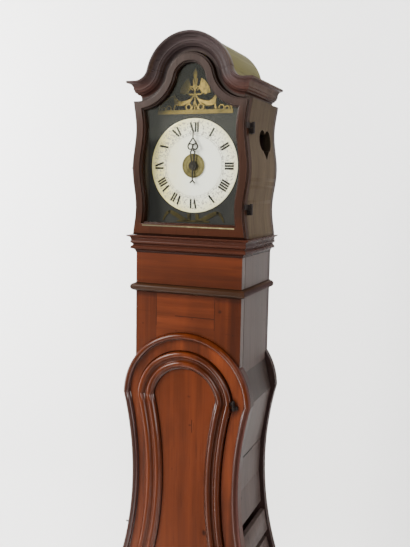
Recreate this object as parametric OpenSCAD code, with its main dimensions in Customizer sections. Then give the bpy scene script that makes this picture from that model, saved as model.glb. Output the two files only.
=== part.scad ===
// Comtoise longcase clock: violin-shaped trunk, straight neck and lift-off arched hood,
// with a rope-driven movement, one hour hand, a long pendulum and an alarm.
// X points right, Y to the back and Z up from the floor. All sizes are in millimetres.

/* [Neck] */
// Width of the neck across its side boards
neck_w = 298; // [290:1:310]
// Depth of the case from the neck's face to its back
neck_d = 238; // [232:1:250]
// Height from the centre of the trunk's arch to the hood's seat
neck_rise = 433; // [400:1:480]
// Thickness of the neck's front board
neck_front_t = 24; // [18:1:26]
// Thickness of the neck's side boards
neck_side_t = 20; // [14:1:22]
// Drop from the hood's seat to the top of the moulding round the neck
mid_drop = 126; // [90:1:170]

/* [Trunk] */
// Height of the plinth
plinth_h = 230; // [150:1:260]
// How far the plinth stands out from the trunk's face
plinth_out = 12; // [8:1:12]
// How far the plinth's sides lie in from the widest part of the belly
plinth_in = 3; // [0:0.5:6]
// Height from the plinth to the narrow waist
waist_rise = 757; // [730:1:800]
// Height from the waist to the centre of the shoulder arch
arch_rise = 220; // [200:1:240]
// Radius of the shoulder arch
arch_r = 182; // [178:1:186]
// Width across the waist
waist_w = 307; // [300:1:316]
// Radius of the hollow waist curve
waist_r = 900; // [850:10:1000]
// Width across the belly
belly_w = 424; // [416:1:430]
// Radius of the upper belly curve
belly_r = 300; // [260:5:340]
// Radius of the long curve from the belly down to the plinth
foot_r = 2400; // [2000:50:3000]
// Thickness of the trunk's front board
front_t = 26; // [22:1:28]
// Thickness of the back board
back_t = 20; // [14:1:22]
// Width of the front board's frame round the door
frame_w = 44; // [42:1:46]
// Height of the rail under the door
foot_rail = 60; // [40:1:90]
// Thickness of the side planks
plank_t = 12; // [10:1:16]
// How far the side planks lie in from the outline
plank_in = 12; // [10:1:14]
// Height of the two open slots between side planks
plank_slot = 22; // [10:1:26]
// Drop from the waist to the upper slot
slot_drop = 125; // [110:1:140]
// Height of the plank between the slots
slat_h = 60; // [50:1:80]
// How far that plank stands out from the others
slat_out = 8; // [0:1:9]
// Width of the open joint between the planks over the waist
plank_seam = 1.5; // [0.5:0.1:3]

/* [Trunk door] */
// Thickness of the door's frame
trunk_door_t = 20; // [18:1:22]
// Width of the door's frame
trunk_stile = 46; // [44:1:50]
// Gap round the door
trunk_gap = 2; // [1.8:0.1:2.5]
// How far the door sits left of the trunk's middle
door_left = 4; // [0:0.5:5]
// How far the door's outline sits under the trunk's own
door_low = 4; // [0:0.5:5]
// Thickness of the panel at its edge
panel_t = 8; // [6:1:9]
// Gap between the panel's raised face and the door's frame
panel_margin = 1; // [0.6:0.1:3]
// Depth of the panel's face behind the door's frame
panel_sink = 3; // [1:0.5:6]
// Radius of a door hinge's barrel
barrel_r = 4; // [3.5:0.1:4.2]

/* [Mouldings] */
// Width of the moulding along the trunk's outline
trunk_mould_w = 18; // [15:1:22]
// Height of that moulding from the board
trunk_mould_t = 13; // [9:0.5:14]
// Width of the trunk door's double moulding, which starts at the door's edge
door_mould_w = 46; // [40:1:46]
// Height of that moulding from the door
door_mould_t = 12; // [8:0.5:13]
// Height of the stepped moulding under the hood
seat_mould_h = 46; // [36:1:56]
// How far it stands out from the neck
seat_mould_out = 20; // [14:1:20]
// Height of the moulding round the neck
mid_mould_h = 24; // [16:1:30]
// How far it stands out from the neck
mid_mould_out = 12.5; // [8:0.5:16]
// Height of the moulding round the plinth
plinth_mould_h = 26; // [18:1:34]
// How far it stands out from the plinth
plinth_mould_out = 8; // [5:0.5:8]
// Height of the cornice
cornice_h = 40.5; // [38:0.5:42]

/* [Hood] */
// Height from the hood's seat to the top of the cornice at its ends
hood_h = 394; // [380:1:410]
// Radius of the hood's arch at the top edge of the cornice
hood_arch_r = 115; // [110:1:120]
// Radius of the hollow where the arch meets the cornice's flat ends
hood_fillet_r = 35; // [30:1:38]
// Half width of the hood's upper part, behind the cornice
hood_top_hw = 141; // [139:1:142]
// How far the cornice stands out from the hood's upper part
cornice_proj = 30; // [26:1:32]
// How far the cornice reaches past the neck's face
cornice_out = 21; // [20:1:24]
// How far the middle of the wavy side lies outside the neck's side
wave_out = 7; // [6:0.5:8]
// Height of one wave on the hood's side, from its middle
wave_amp = 5; // [3:0.5:6]
// Length of one wave on the hood's side
wave_len = 200; // [190:1:210]
// Height of the wave's bulge above the hood's seat
wave_rise = 174; // [165:1:185]
// Thickness of the hood's side boards at their thinnest
hood_side_t = 18; // [14:1:18]
// Thickness of the hood's back board
hood_back_t = 18; // [14:1:20]
// Thickness of the bent roof board
roof_t = 7; // [6:0.5:8]
// Width of the heart pierced in each side
heart_w = 96; // [60:1:104]
// Height of the heart above the hood's seat
heart_rise = 251; // [235:1:260]

/* [Hood door] */
// Thickness of the hood door
door_t = 26; // [24:1:28]
// How far the hood door stands out from the neck's face
door_proud = 8; // [6:1:10]
// Drop from the cornice's top edge to the top of the hood door
door_drop = 49; // [47:1:52]
// Width of the hood door's frame at its sides
stile_w = 27; // [24:1:30]
// Width of the hood door's arched top rail
top_rail_w = 24; // [20:1:28]
// Height of the hood door's bottom rail
bottom_rail_h = 35; // [30:1:45]
// Thickness of the glass
glass_t = 3; // [2:0.5:4]
// Depth of the glass's seat in the frame
glass_seat = 6; // [4:0.5:7]

/* [Dial and hand] */
// Height of the dial's centre above the hood's seat
dial_rise = 182; // [176:1:188]
// Diameter of the enamel dial
dial_d = 240; // [220:1:244]
// Length of the hour hand from its centre
hand_len = 89; // [70:1:100]
// Diameter of the alarm disc
alarm_disc_d = 62; // [50:1:70]
// Room between the hood door and the dial plate
hand_room = 12.5; // [12.5:0.5:14]

/* [Movement] */
// Depth of the iron cage
cage_d = 118; // [112:1:122]
// Height of the iron cage
cage_h = 261; // [258:1:266]
// Tooth module of the wheels
tooth_m = 1.4; // [1.35:0.01:1.42]
// Teeth on each wheel of the going train
wheel_n = 72; // [70:1:74]
// Leaves on each pinion
pinion_n = 8; // [8:1:9]
// Teeth on the hour wheel
hour_n = 64; // [60:1:66]
// Teeth on the crown wheel
crown_n = 33; // [29:2:35]
// Radius of the wheel arbors
arbor_r = 3.2; // [2.5:0.1:3.3]
// Running clearance of each pivot
run_gap = 0.05; // [0.02:0.01:0.08]
// Radius of the going sheave at the rope's middle
sheave_r = 33; // [30:0.5:34]
// Radius of the alarm sheave at the rope's middle
alarm_sheave_r = 24; // [20:0.5:25]
// Diameter of the rope
rope_d = 5; // [4:0.5:5.5]

/* [Pendulum and weights] */
// Length of the pendulum from its pivot to the middle of its bob
pendulum_len = 1014; // [960:1:1040]
// Diameter of the pendulum bob
bob_d = 100; // [80:1:110]
// Thickness of the pendulum bob
bob_t = 26; // [20:1:28]
// Diameter of the going weight
weight_d = 72; // [50:1:72]
// Length of the going weight
weight_len = 170; // [140:1:220]
// Depth of the going weight's top below the hood's seat, fully wound
weight_drop = 240; // [220:1:300]
// Fall of the weights from fully wound
weight_fall = 700; // [500:10:720]
// Diameter of the alarm weight
alarm_weight_d = 42; // [36:1:44]
// Length of the alarm weight
alarm_weight_len = 90; // [80:1:120]
// Diameter of the counterweights
tail_d = 20; // [18:1:24]
// Length of the counterweights
tail_len = 46; // [36:1:50]

/* [Hidden] */

// Fineness of round shapes: small ones, and the long curves of the case
$fn = 64;
curve_fn = 720;
// Larger than the whole clock, for cutting
big = 4000;
// Small gaps: between parts that only lie together, and round a door
lay_gap = 0.3;
door_gap = 0.5;

// Colours of the materials
red_wood = [0.36, 0.15, 0.08];
dark_wood = [0.24, 0.12, 0.08];
grey_wood = [0.38, 0.33, 0.28];
raw_wood = [0.55, 0.47, 0.33];
iron = [0.18, 0.18, 0.18];
brass = [0.66, 0.55, 0.25];
enamel = [0.93, 0.91, 0.84];
hemp = [0.62, 0.52, 0.36];

// Heights
waist_z = plinth_h + waist_rise;
arch_z = waist_z + arch_rise;
seat_z = arch_z + neck_rise;
cornice_z = seat_z + hood_h;
ear_z = cornice_z - door_drop + 2;
dial_z = seat_z + dial_rise;
wave_z = seat_z + wave_rise;

// Half widths
neck_hw = neck_w / 2;
waist_hw = waist_w / 2;
belly_hw = belly_w / 2;
plinth_hw = belly_hw - plinth_in;
plinth_w = 2 * plinth_hw;
wave_hw = neck_hw + wave_out;
hood_in_hw = wave_hw - wave_amp - hood_side_t;

// Depths, from the front to the back
y_back = (neck_d + cornice_out) / 2;
y_front = y_back - neck_d;
y_arch = y_front - cornice_out + cornice_proj;
arch_board_t = 22;
y_door = y_front - door_proud;
y_hood = y_door + door_t + door_gap;
y_dial = y_hood + hand_room;
y_hand = y_dial - 8.5;
y_pend = y_dial + 11.5;
y_bar = y_pend + 12;
y_rear_bar = y_bar + cage_d - 4;
y_rope = y_bar + 67;

// Outline of the trunk: arch, hollow waist, belly and foot, each an arc about its own centre
waist_cx = waist_hw + waist_r;
belly_cx = belly_hw - belly_r;
foot_cx = belly_hw - foot_r;
belly_z = waist_z - sqrt(pow(waist_r + belly_r, 2) - pow(waist_cx - belly_cx, 2));
turn_a = atan2(waist_z - belly_z, waist_cx - belly_cx);
// Angle of the hairline joint between two lengths of moulding
scarf_a = lay_gap / 2 / (belly_r - frame_w) * 180 / PI;
function turn_z(inset) = belly_z + (belly_r - inset) * sin(turn_a);
function waist_x(z, inset) = waist_cx - sqrt(pow(waist_r + inset, 2) - pow(z - waist_z, 2));
function belly_x(z, inset) = belly_cx + sqrt(pow(belly_r - inset, 2) - pow(z - belly_z, 2));
function foot_x(z, inset) = foot_cx + sqrt(pow(foot_r - inset, 2) - pow(z - belly_z, 2));
function trunk_x(z, inset) =
    z > turn_z(inset) ? waist_x(z, inset) : z > belly_z ? belly_x(z, inset) : foot_x(z, inset);

// Where two circles meet, on the right of the line from the first centre to the second
function meet(p, r, q, s) =
    let (d = norm(q - p), a = (r * r - s * s + d * d) / (2 * d), h = sqrt(r * r - a * a), u = (q - p) / d)
    p + a * u + h * [u[1], -u[0]];
// Where two circles meet, on the left of that line
function meet_left(p, r, q, s) =
    let (d = norm(q - p), a = (r * r - s * s + d * d) / (2 * d), h = sqrt(r * r - a * a), u = (q - p) / d)
    p + a * u + h * [-u[1], u[0]];
// Shoulder corner of the outline drawn in by an inset
function corner(inset) = meet_left([0, arch_z], arch_r - inset, [waist_cx, waist_z], waist_r + inset);

// Points along an arc
function arc(c, r, a0, a1, n = 6) =
    [for (i = [0:n]) let (a = a0 + (a1 - a0) * i / n) c + r * [cos(a), sin(a)]];

// Profiles of the mouldings, each stretched to its own width and height.
// The level ones are pairs of distance out and drop, the others of distance in and height.
plinth_profile = concat([[0, 0], [3, 0]], arc([2, 13], 6, -80, 80), [[3, 25], [0, 26]]);
mid_profile = concat([[0, 0], [3, 2]], arc([3, 12], 9.5, -75, 75, 8), [[3, 22], [0, 24]]);
seat_profile = concat([[0, 0], [20, 0], [20, 3]],
    arc([18.5, 11.5], 7.5, 270, 180), arc([7.5, 17.5], 5, -45, 75),
    [[7, 24], [7, 26], [12, 31], [12, 35]], arc([11, 46], 10, 270, 180), [[0, 46]]);
trunk_profile = concat([[0, 0]], arc([8, 5], 8, 180, 20, 8), [[16, 5.5], [16.4, 2.2], [18, 1.6], [18, 0]]);
door_profile = concat([[0, 0]], arc([8, 4], 8, 180, 15, 8), [[18, 4.5], [21.5, 3.2], [25, 4.2]],
    arc([33, 2.5], 8, 160, 20, 8), [[42.5, 2.6], [46, 1], [46, 0]]);
cornice_profile = fit(concat([[0, 0], [0, 30], [4.5, 30], [5.5, 28.5]], arc([19, 28.5], 13, 180, 270),
    [[22.5, 15.5], [23.5, 13.5]], arc([24.5, 7.5], 6, 90, 10, 4), arc([40.5, 7], 7, 180, 270, 4)),
    cornice_h, cornice_proj);

// Wavy side of the hood
function wave_x(z) = wave_hw + wave_amp * cos(360 * (z - wave_z) / wave_len);
wave_steps = 36;

// Curve of the cornice: the arch's centre, the hollow's centre, and the slope where they touch
hollow_x = sqrt(pow(hood_arch_r + hood_fillet_r, 2) - pow(hood_fillet_r, 2));
hollow_z = cornice_z + hood_fillet_r;
touch_a = atan2(hood_fillet_r, hollow_x);

// Trunk door: inset of its edge, its lower edge, and its leaning hinge line from belly to shoulder
shoulder_z = round(10 * (arch_z + sqrt(pow(arch_r - plank_in, 2) - neck_hw * neck_hw))) / 10;
door_in = frame_w + trunk_gap;
opening_z = plinth_h + foot_rail;
door_z = opening_z + trunk_gap;
hinge_off = barrel_r + 1;
hinge_y = y_front - barrel_r - 1.5;
hinge_top = corner(door_in) + [hinge_off - door_left, -door_low];
hinge_low = [belly_hw - door_in + hinge_off - door_left, belly_z - door_low];
hinge_lean = atan2(hinge_low[0] - hinge_top[0], hinge_top[1] - hinge_low[1]);
hinge_len = 20;
hinge_pin_r = 2;
hinge_leaf = 10;

// Hood hinges: their line, and the heights where the side is narrowest
hood_hinge_x = wave_hw + wave_amp + 1.5;
hood_hinge_y = y_hood - door_gap / 2;
hood_hinge_zs = [wave_z - wave_len / 2, wave_z + wave_len / 2];
hood_barrel_r = 4;
hood_pin_r = 2.2;
hood_leaf_h = 26;
hood_leaf_t = 2.5;

// Going train, seen from the front: crown, third, intermediate and great arbors
wheel_r = tooth_m * wheel_n / 2;
pinion_r = tooth_m * pinion_n / 2;
mesh = wheel_r + pinion_r;
hour_mesh = tooth_m * (hour_n + pinion_n) / 2;
crown_at = [0, dial_z + 38];
third_at = crown_at + mesh * [cos(-44.4), sin(-44.4)];
inter_at = meet([0, dial_z], hour_mesh, third_at, mesh);
great_at = inter_at + mesh * [cos(-61.3), sin(-61.3)];
alarm_at = [-62, dial_z - 117];
crown_r = 28;
alarm_crown_r = 22;
// Depth of each wheel behind the front bar, and the wheels' thickness
wheel_t = 4;
y_inter = y_bar + 34;
y_third = y_bar + 62;
y_great = y_bar + 88;
y_crown = y_bar + 24;
y_verge = y_bar + 9;
pinion_len = 12;
bar_t = 4;
bar_left = 14;
bar_right = third_at[0] + 18;

// Iron cage on the seat board
cage_hw = hood_in_hw - 13;
cage_plate_t = 4;
pillar_w = 10;
cage_z = seat_z;
cage_top_z = cage_z + cage_h;
seat_board_t = 25;
pend_z = cage_top_z + 54;
crutch_z = cage_top_z + 6;

// Ropes: how far below the seat each weight hangs, and where each strand is
rope_r = rope_d / 2;
weight_z = seat_z - weight_drop;
tail_z = weight_z - weight_fall - 80;
going_x = great_at[0] + sheave_r;
going_tail_x = great_at[0] - sheave_r;
alarm_x = alarm_at[0] - alarm_sheave_r;
alarm_tail_x = alarm_at[0] + alarm_sheave_r;
hook_h = 20;

// Alarm bell and hammer
bell_at = [-8, y_bar + 79];
bell_r = 42;
bell_h = 36;
bell_t = 3;
bell_z = cage_top_z + 78;
hammer_at = [alarm_at[0], y_bar + 14];
hammer_r = 7;
hammer_swing = 16;
hammer_arm = norm(bell_at - hammer_at) - bell_r - hammer_r - 1;

// Board lying flat to the front, drawn in X and Z, from depth y
module board(y, t) translate([0, y + t, 0]) rotate([90, 0, 0]) linear_extrude(t) children();

// Board lying flat to the side, drawn in Y and Z, from x
module side_board(x, t) translate([x, 0, 0]) rotate([90, 0, 90]) linear_extrude(t) children();

// Round bar along Y
module rod_y(at, y0, y1, r) translate([at[0], y1, at[1]]) rotate([90, 0, 0]) cylinder(r = r, h = y1 - y0);

// Upright round bar
module rod_z(at, z0, z1, r) translate([at[0], at[1], z0]) cylinder(r = r, h = z1 - z0);

module both_sides() {
    children();
    mirror([1, 0, 0]) children();
}

// Moulding swept along an arc; its profile is a list of [distance in, height] pairs
module sweep(profile, r, sign, c, a0, a1, y)
    translate([c[0], y, c[1]]) rotate([90, 0, 0])
        rotate_extrude(angle = a1 - a0, start = a0, $fn = curve_fn)
            polygon([for (p = profile) [r + sign * p[0], p[1]]]);

// Moulding along the trunk's outline, from height z0 to the shoulders and over the arch.
// With a foot width, its lower ends are mitred for a run along the bottom.
module outline_moulding(inset, profile, y, z0, foot = 0) {
    zc = corner(inset)[1];
    zt = zc - lay_gap / 2;
    x0 = trunk_x(z0, inset);
    x1 = trunk_x(z0 + foot, inset + foot);
    reach = asin((zc + 30 - waist_z) / waist_r);
    low = asin((belly_z - z0 + 30) / (foot_r - inset));
    intersection() {
        sweep(profile, arch_r - inset, -1, [0, arch_z], 0, 180, y);
        translate([-big / 2, -big / 2, zc + lay_gap / 2]) cube(big);
    }
    both_sides() {
        intersection() {
            sweep(profile, waist_r + inset, 1, [waist_cx, waist_z], 180 - reach, 180 + turn_a, y);
            below_corner(x0, x1, z0, zt, foot);
        }
        intersection() {
            sweep(profile, belly_r - inset, -1, [belly_cx, belly_z], scarf_a, turn_a - scarf_a, y);
            below_corner(x0, x1, z0, zt, foot);
        }
        intersection() {
            sweep(profile, foot_r - inset, -1, [foot_cx, belly_z], -low, 0, y);
            below_corner(x0, x1, z0, zt, foot);
        }
    }
}

// Space of one side's lengths of moulding, below the shoulder corner and outside the foot's mitre
module below_corner(x0, x1, z0, zt, foot) board(y_front - 40, 80) polygon(foot == 0
    ? [[0, z0], [belly_w, z0], [belly_w, zt], [0, zt]]
    : [[2 * x0 - x1, z0 - foot], [belly_w, z0 - foot], [belly_w, zt], [0, zt], [0, z0 + 2 * foot],
       [2 * x1 - x0, z0 + 2 * foot]]);

// Three straight lengths of moulding round the front and sides, mitred at the corners.
// The profile is drawn as distance out and height.
module mitred(hw, y0, y1, out) {
    intersection() {
        translate([-hw - out, y0, 0]) mirror([0, 1, 0]) rotate([90, 0, 90])
            linear_extrude(2 * (hw + out)) children();
        linear_extrude(big) polygon([
            [-hw, y0], [hw, y0], [hw + out - lay_gap, y0 - out], [-hw - out + lay_gap, y0 - out]
        ]);
    }
    both_sides() intersection() {
        translate([hw, y1, 0]) rotate([90, 0, 0]) linear_extrude(y1 - y0 + out) children();
        linear_extrude(big)
            polygon([[hw, y1], [hw, y0 + lay_gap], [hw + out, y0 - out + lay_gap], [hw + out, y1]]);
    }
}

// Stretches a list of points to a width and a height
function fit(points, w, h) =
    let (mw = max([for (p = points) p[0]]), mh = max([for (p = points) p[1]]))
    [for (p = points) [p[0] * w / mw, p[1] * h / mh]];

// Profile given as [out, drop] pairs, hung from height z
module hung(profile, z) translate([0, z]) mirror([0, 1]) polygon(profile);

// Right edge of the trunk's outline drawn in by an inset, from height z0 up to the middle of the arch
function trunk_edge(inset, z0) =
    let (c = corner(inset), ca = bearing([0, arch_z], c), wa = bearing(c, [waist_cx, waist_z]))
    concat(
        [for (i = [0:foot_steps - 1]) let (z = z0 + (belly_z - z0) * i / foot_steps) [foot_x(z, inset), z]],
        [for (i = [0:belly_steps - 1]) let (a = turn_a * i / belly_steps)
            [belly_cx, belly_z] + (belly_r - inset) * [cos(a), sin(a)]],
        [for (i = [0:waist_steps - 1]) let (a = turn_a + (wa - turn_a) * i / waist_steps)
            [waist_cx, waist_z] - (waist_r + inset) * [cos(a), sin(a)]],
        [for (i = [0:arch_steps]) let (a = ca + (90 - ca) * i / arch_steps)
            [0, arch_z] + (arch_r - inset) * [cos(a), sin(a)]]);
foot_steps = 8;
belly_steps = 8;
waist_steps = 24;
arch_steps = 36;

// Outline of the trunk drawn in by an inset, from height z0 upward
module trunk_shape(inset, z0) {
    right = trunk_edge(inset, z0);
    last = len(right) - 1;
    polygon(concat(right, [for (i = [last - 1:-1:0]) [-right[i][0], right[i][1]]]));
}

// Right half of the cornice's curve drawn in by an inset, from a half width to the middle of the arch
function cornice_edge(inset, hw) =
    let (r = hood_arch_r - inset, s = hood_fillet_r + inset, a1 = 180 + touch_a,
         a0 = hw < hollow_x ? 180 + acos((hollow_x - hw) / s) : 270)
    concat(
        hw < hollow_x ? [] : [[hw, cornice_z - inset]],
        [for (i = [0:hollow_steps - 1]) let (a = a0 + (a1 - a0) * i / hollow_steps)
            [hollow_x, hollow_z] + s * [cos(a), sin(a)]],
        [for (i = [0:arch_steps]) let (a = touch_a + (90 - touch_a) * i / arch_steps)
            [0, cornice_z] + r * [cos(a), sin(a)]]);
hollow_steps = 12;

// Everything under the cornice's curve drawn in by an inset, down to height z0
module under_cornice(inset, hw, z0) {
    right = cornice_edge(inset, hw);
    last = len(right) - 1;
    polygon(concat([[-hw, z0], [hw, z0]], right, [for (i = [last - 1:-1:0]) [-right[i][0], right[i][1]]]));
}

// Wavy outline of the hood between two heights, drawn in by an inset
module wavy_shape(inset, z0, z1) {
    right = [for (i = [0:wave_steps]) let (z = z0 + (z1 - z0) * i / wave_steps) [wave_x(z) - inset, z]];
    polygon(concat(right, [for (i = [wave_steps:-1:0]) [-right[i][0], right[i][1]]]));
}

// Outline of the hood door, drawn in by an inset
module hood_door_shape(inset) intersection() {
    wavy_shape(inset, seat_z + 1 + inset, cornice_z + hood_arch_r);
    under_cornice(door_drop + inset, wave_hw + 2 * wave_amp, seat_z);
}

// Opening of the hood door, made larger by a margin
module glass_shape(margin) intersection() {
    wavy_shape(stile_w - margin, seat_z + bottom_rail_h - margin, cornice_z + hood_arch_r);
    under_cornice(door_drop + top_rail_w - margin, wave_hw + 2 * wave_amp, seat_z);
}

// Wheel with teeth, drawn as one outline
module toothed(n, tip, root, tip_share, pitch_share, root_share, phase) {
    pr = tooth_m * n / 2;
    step = 360 / n;
    polygon([
        for (i = [0:n - 1], k = [[root, -root_share], [pr, -pitch_share], [tip, -tip_share],
                                 [tip, tip_share], [pr, pitch_share], [root, root_share]])
            k[0] * [cos(phase + step * (i + k[1])), sin(phase + step * (i + k[1]))]
    ]);
}

// Wheel rim with teeth, four spokes and a hub
module spoked(n, phase, hub) {
    pr = tooth_m * n / 2;
    rim_r = pr - 8;
    difference() {
        toothed(n, pr + 0.9 * tooth_m, pr - 1.3 * tooth_m, 0.10, 0.20, 0.25, phase);
        difference() {
            circle(rim_r);
            circle(hub);
            for (a = [0, 90]) rotate(a) square([2 * pr, 6], center = true);
        }
    }
}

module wheel(at, y, n, phase, hub) board(y, wheel_t) translate(at) spoked(n, phase, hub);

module pinion(at, y, phase) {
    r = pinion_r;
    board(y, pinion_len) translate(at)
        toothed(pinion_n, r + 0.7 * tooth_m, r - 1.3 * tooth_m, 0.07, 0.15, 0.18, phase);
}

function bearing(p, q) = atan2(q[1] - p[1], q[0] - p[0]);
half_leaf = 180 / pinion_n;

// Crown-shaped wheel whose teeth point to the front
module crown_teeth(at, y, r, n, depth) translate([at[0], y + depth, at[1]]) rotate([90, 0, 0]) {
    pitch = 2 * PI * r / n;
    difference() {
        cylinder(r = r, h = depth);
        translate([0, 0, -1]) cylinder(r = r - 2.5, h = depth + 2);
        for (i = [0:n - 1]) rotate(360 * i / n)
            translate([r - 4, 0, depth]) rotate([90, 0, 90])
                linear_extrude(6) polygon([[-0.35 * pitch, 1], [0.3, -depth * 0.6], [0.4 * pitch, 1]]);
    }
    difference() {
        cylinder(r = r - 2, h = 3);
        for (a = [45:90:315]) rotate(a) translate([r * 0.52, 0, -1]) cylinder(r = r * 0.24, h = 5);
    }
}

// Grooved wheel that the rope runs over
module sheave(at, r) translate([at[0], y_rope, at[1]]) rotate([90, 0, 0]) rotate_extrude() difference() {
    translate([arbor_r + run_gap, -9]) square([r + rope_r + 1.5 - arbor_r - run_gap, 18]);
    translate([r, 0]) circle(rope_r + lay_gap);
    translate([r, -rope_r - lay_gap]) square([rope_d, rope_d + 2 * lay_gap]);
}

// Plinth: front and back boards, two sides and the board that the trunk stands on
module plinth() color(red_wood) {
    side_t = 20;
    top_t = 18;
    y0 = y_front - plinth_out;
    board_h = plinth_h - top_t;
    translate([-plinth_hw, y0, 0]) cube([plinth_w, side_t, board_h]);
    both_sides() translate([plinth_hw - side_t, y0 + side_t, 0])
        cube([side_t, y_back - y0 - side_t, board_h]);
    translate([-plinth_hw, y_back - side_t, 0]) cube([plinth_w, side_t, board_h]);
    translate([-plinth_hw, y0, board_h]) cube([plinth_w, y_back - y0, top_t]);
}

module plinth_moulding() color(dark_wood)
    mitred(plinth_hw, y_front - plinth_out, y_back, plinth_mould_out)
        hung(fit(plinth_profile, plinth_mould_out, plinth_mould_h), plinth_h);

// Front board of the trunk, cut out for the door
module trunk_front() color(red_wood) board(y_front, front_t) difference() {
    trunk_shape(0, plinth_h);
    translate([-door_left, -door_low]) trunk_shape(frame_w, opening_z);
}

// Puts the trunk door a little left of the middle and under the trunk's own outline
module door_place() translate([-door_left, 0, -door_low]) children();

// Rounded moulding along the trunk's outline
module trunk_moulding() color(dark_wood)
    outline_moulding(0, fit(trunk_profile, trunk_mould_w, trunk_mould_t), y_front, plinth_h);

// Flat planks that close one side of the trunk, with two open slots under the waist
module planks() {
    joint_z = waist_z + 65;
    slot_z = waist_z - slot_drop;
    mid_z = (joint_z + slot_z) / 2;
    slat_z = slot_z - plank_slot - slat_h;
    bend_z = (slat_z - plank_slot + belly_z) / 2;
    low_z = (belly_z + plinth_h) / 2;
    y0 = y_front + front_t;
    t = neck_d - front_t - back_t;
    function px(z) = trunk_x(z, plank_in);
    board(y0, t) polygon([
        [neck_hw, shoulder_z], [neck_hw - plank_t, shoulder_z],
        [px(arch_z) - plank_t, arch_z + lay_gap], [px(arch_z), arch_z + lay_gap]
    ]);
    for (zs = [[arch_z, joint_z], [joint_z - plank_seam, mid_z, slot_z], [slat_z - plank_slot, bend_z],
               [bend_z - lay_gap, belly_z], [belly_z - lay_gap, low_z], [low_z - lay_gap, plinth_h]])
        plank(zs, 0);
    plank([slot_z - plank_slot, slat_z], slat_out);
    module plank(zs, out) board(y0, t) translate([out, 0]) polygon(concat(
        [for (z = zs) [px(z) - plank_t, z]],
        [for (i = [len(zs) - 1:-1:0]) [px(zs[i]), zs[i]]]));
}

module trunk_side_left() color(grey_wood) mirror([1, 0, 0]) planks();

module trunk_side_right() color(grey_wood) planks();

// Back board of trunk and neck in one piece
module case_back() color(raw_wood) board(y_back - back_t, back_t) {
    trunk_shape(0, plinth_h);
    translate([-neck_hw, arch_z]) square([neck_w, seat_z - arch_z]);
}

// Front board of the neck, hollowed to fit round the trunk's arch
module neck_front() color(red_wood) board(y_front, neck_front_t) difference() {
    translate([-neck_hw, arch_z]) square([neck_w, seat_z - arch_z]);
    translate([0, arch_z]) circle(arch_r + lay_gap, $fn = curve_fn);
}

module neck_sides() color(grey_wood) both_sides() {
    y0 = y_front + max(neck_front_t, front_t);
    translate([neck_hw - neck_side_t, y0, shoulder_z])
        cube([neck_side_t, y_back - back_t - y0, seat_z - shoulder_z]);
}

module mid_moulding() color(dark_wood)
    mitred(neck_hw, y_front, y_back, mid_mould_out)
        hung(fit(mid_profile, mid_mould_out, mid_mould_h), seat_z - mid_drop);

// Stepped moulding that the hood stands on
module hood_seat_moulding() color(dark_wood)
    mitred(neck_hw, y_front, y_back, seat_mould_out)
        hung(fit(seat_profile, seat_mould_out, seat_mould_h), seat_z);

// Seat board of the movement on its two cleats, cut for the pendulum and the ropes
module seat_board() color(raw_wood) {
    hw = neck_hw - neck_side_t - lay_gap;
    y0 = y_front + neck_front_t + lay_gap;
    cleat = 18;
    difference() {
        translate([-hw, y0, seat_z - seat_board_t])
            cube([2 * hw, y_back - back_t - lay_gap - y0, seat_board_t]);
        rope_holes(seat_z - seat_board_t, seat_board_t);
        translate([-34, y_pend - 9, seat_z - big / 2]) cube([68, 18, big]);
    }
    both_sides() translate([hw + lay_gap - cleat, y0 + 4, seat_z - seat_board_t - cleat])
        cube([cleat, y_back - back_t - y0 - 8, cleat]);
}

// Holes for the four strands of rope
module rope_holes(z, t) for (x = [going_x, going_tail_x, alarm_x, alarm_tail_x])
    translate([x, y_rope, z - 1]) cylinder(r = rope_r + 4, h = t + 2);

// Iron cage: bottom plate, top plate and four pillars
module movement_cage() color(iron) {
    y0 = y_bar - 4;
    d = cage_d + 8;
    top = cage_top_z - cage_plate_t;
    difference() {
        translate([-cage_hw, y0, cage_z]) cube([2 * cage_hw, d, cage_plate_t]);
        rope_holes(cage_z, cage_plate_t);
        rod_z(hammer_at, cage_z - 1, cage_top_z, 2 + run_gap);
    }
    difference() {
        translate([-cage_hw, y0, top]) cube([2 * cage_hw, d, cage_plate_t]);
        rod_z([0, y_verge], top - 1, cage_top_z + 1, 2 + run_gap);
        rod_z(hammer_at, top - 1, cage_top_z + 1, 2 + run_gap);
    }
    both_sides() for (y = [y0, y0 + d - pillar_w])
        translate([cage_hw - pillar_w, y, cage_z + cage_plate_t])
            cube([pillar_w, pillar_w, cage_h - 2 * cage_plate_t]);
}

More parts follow.
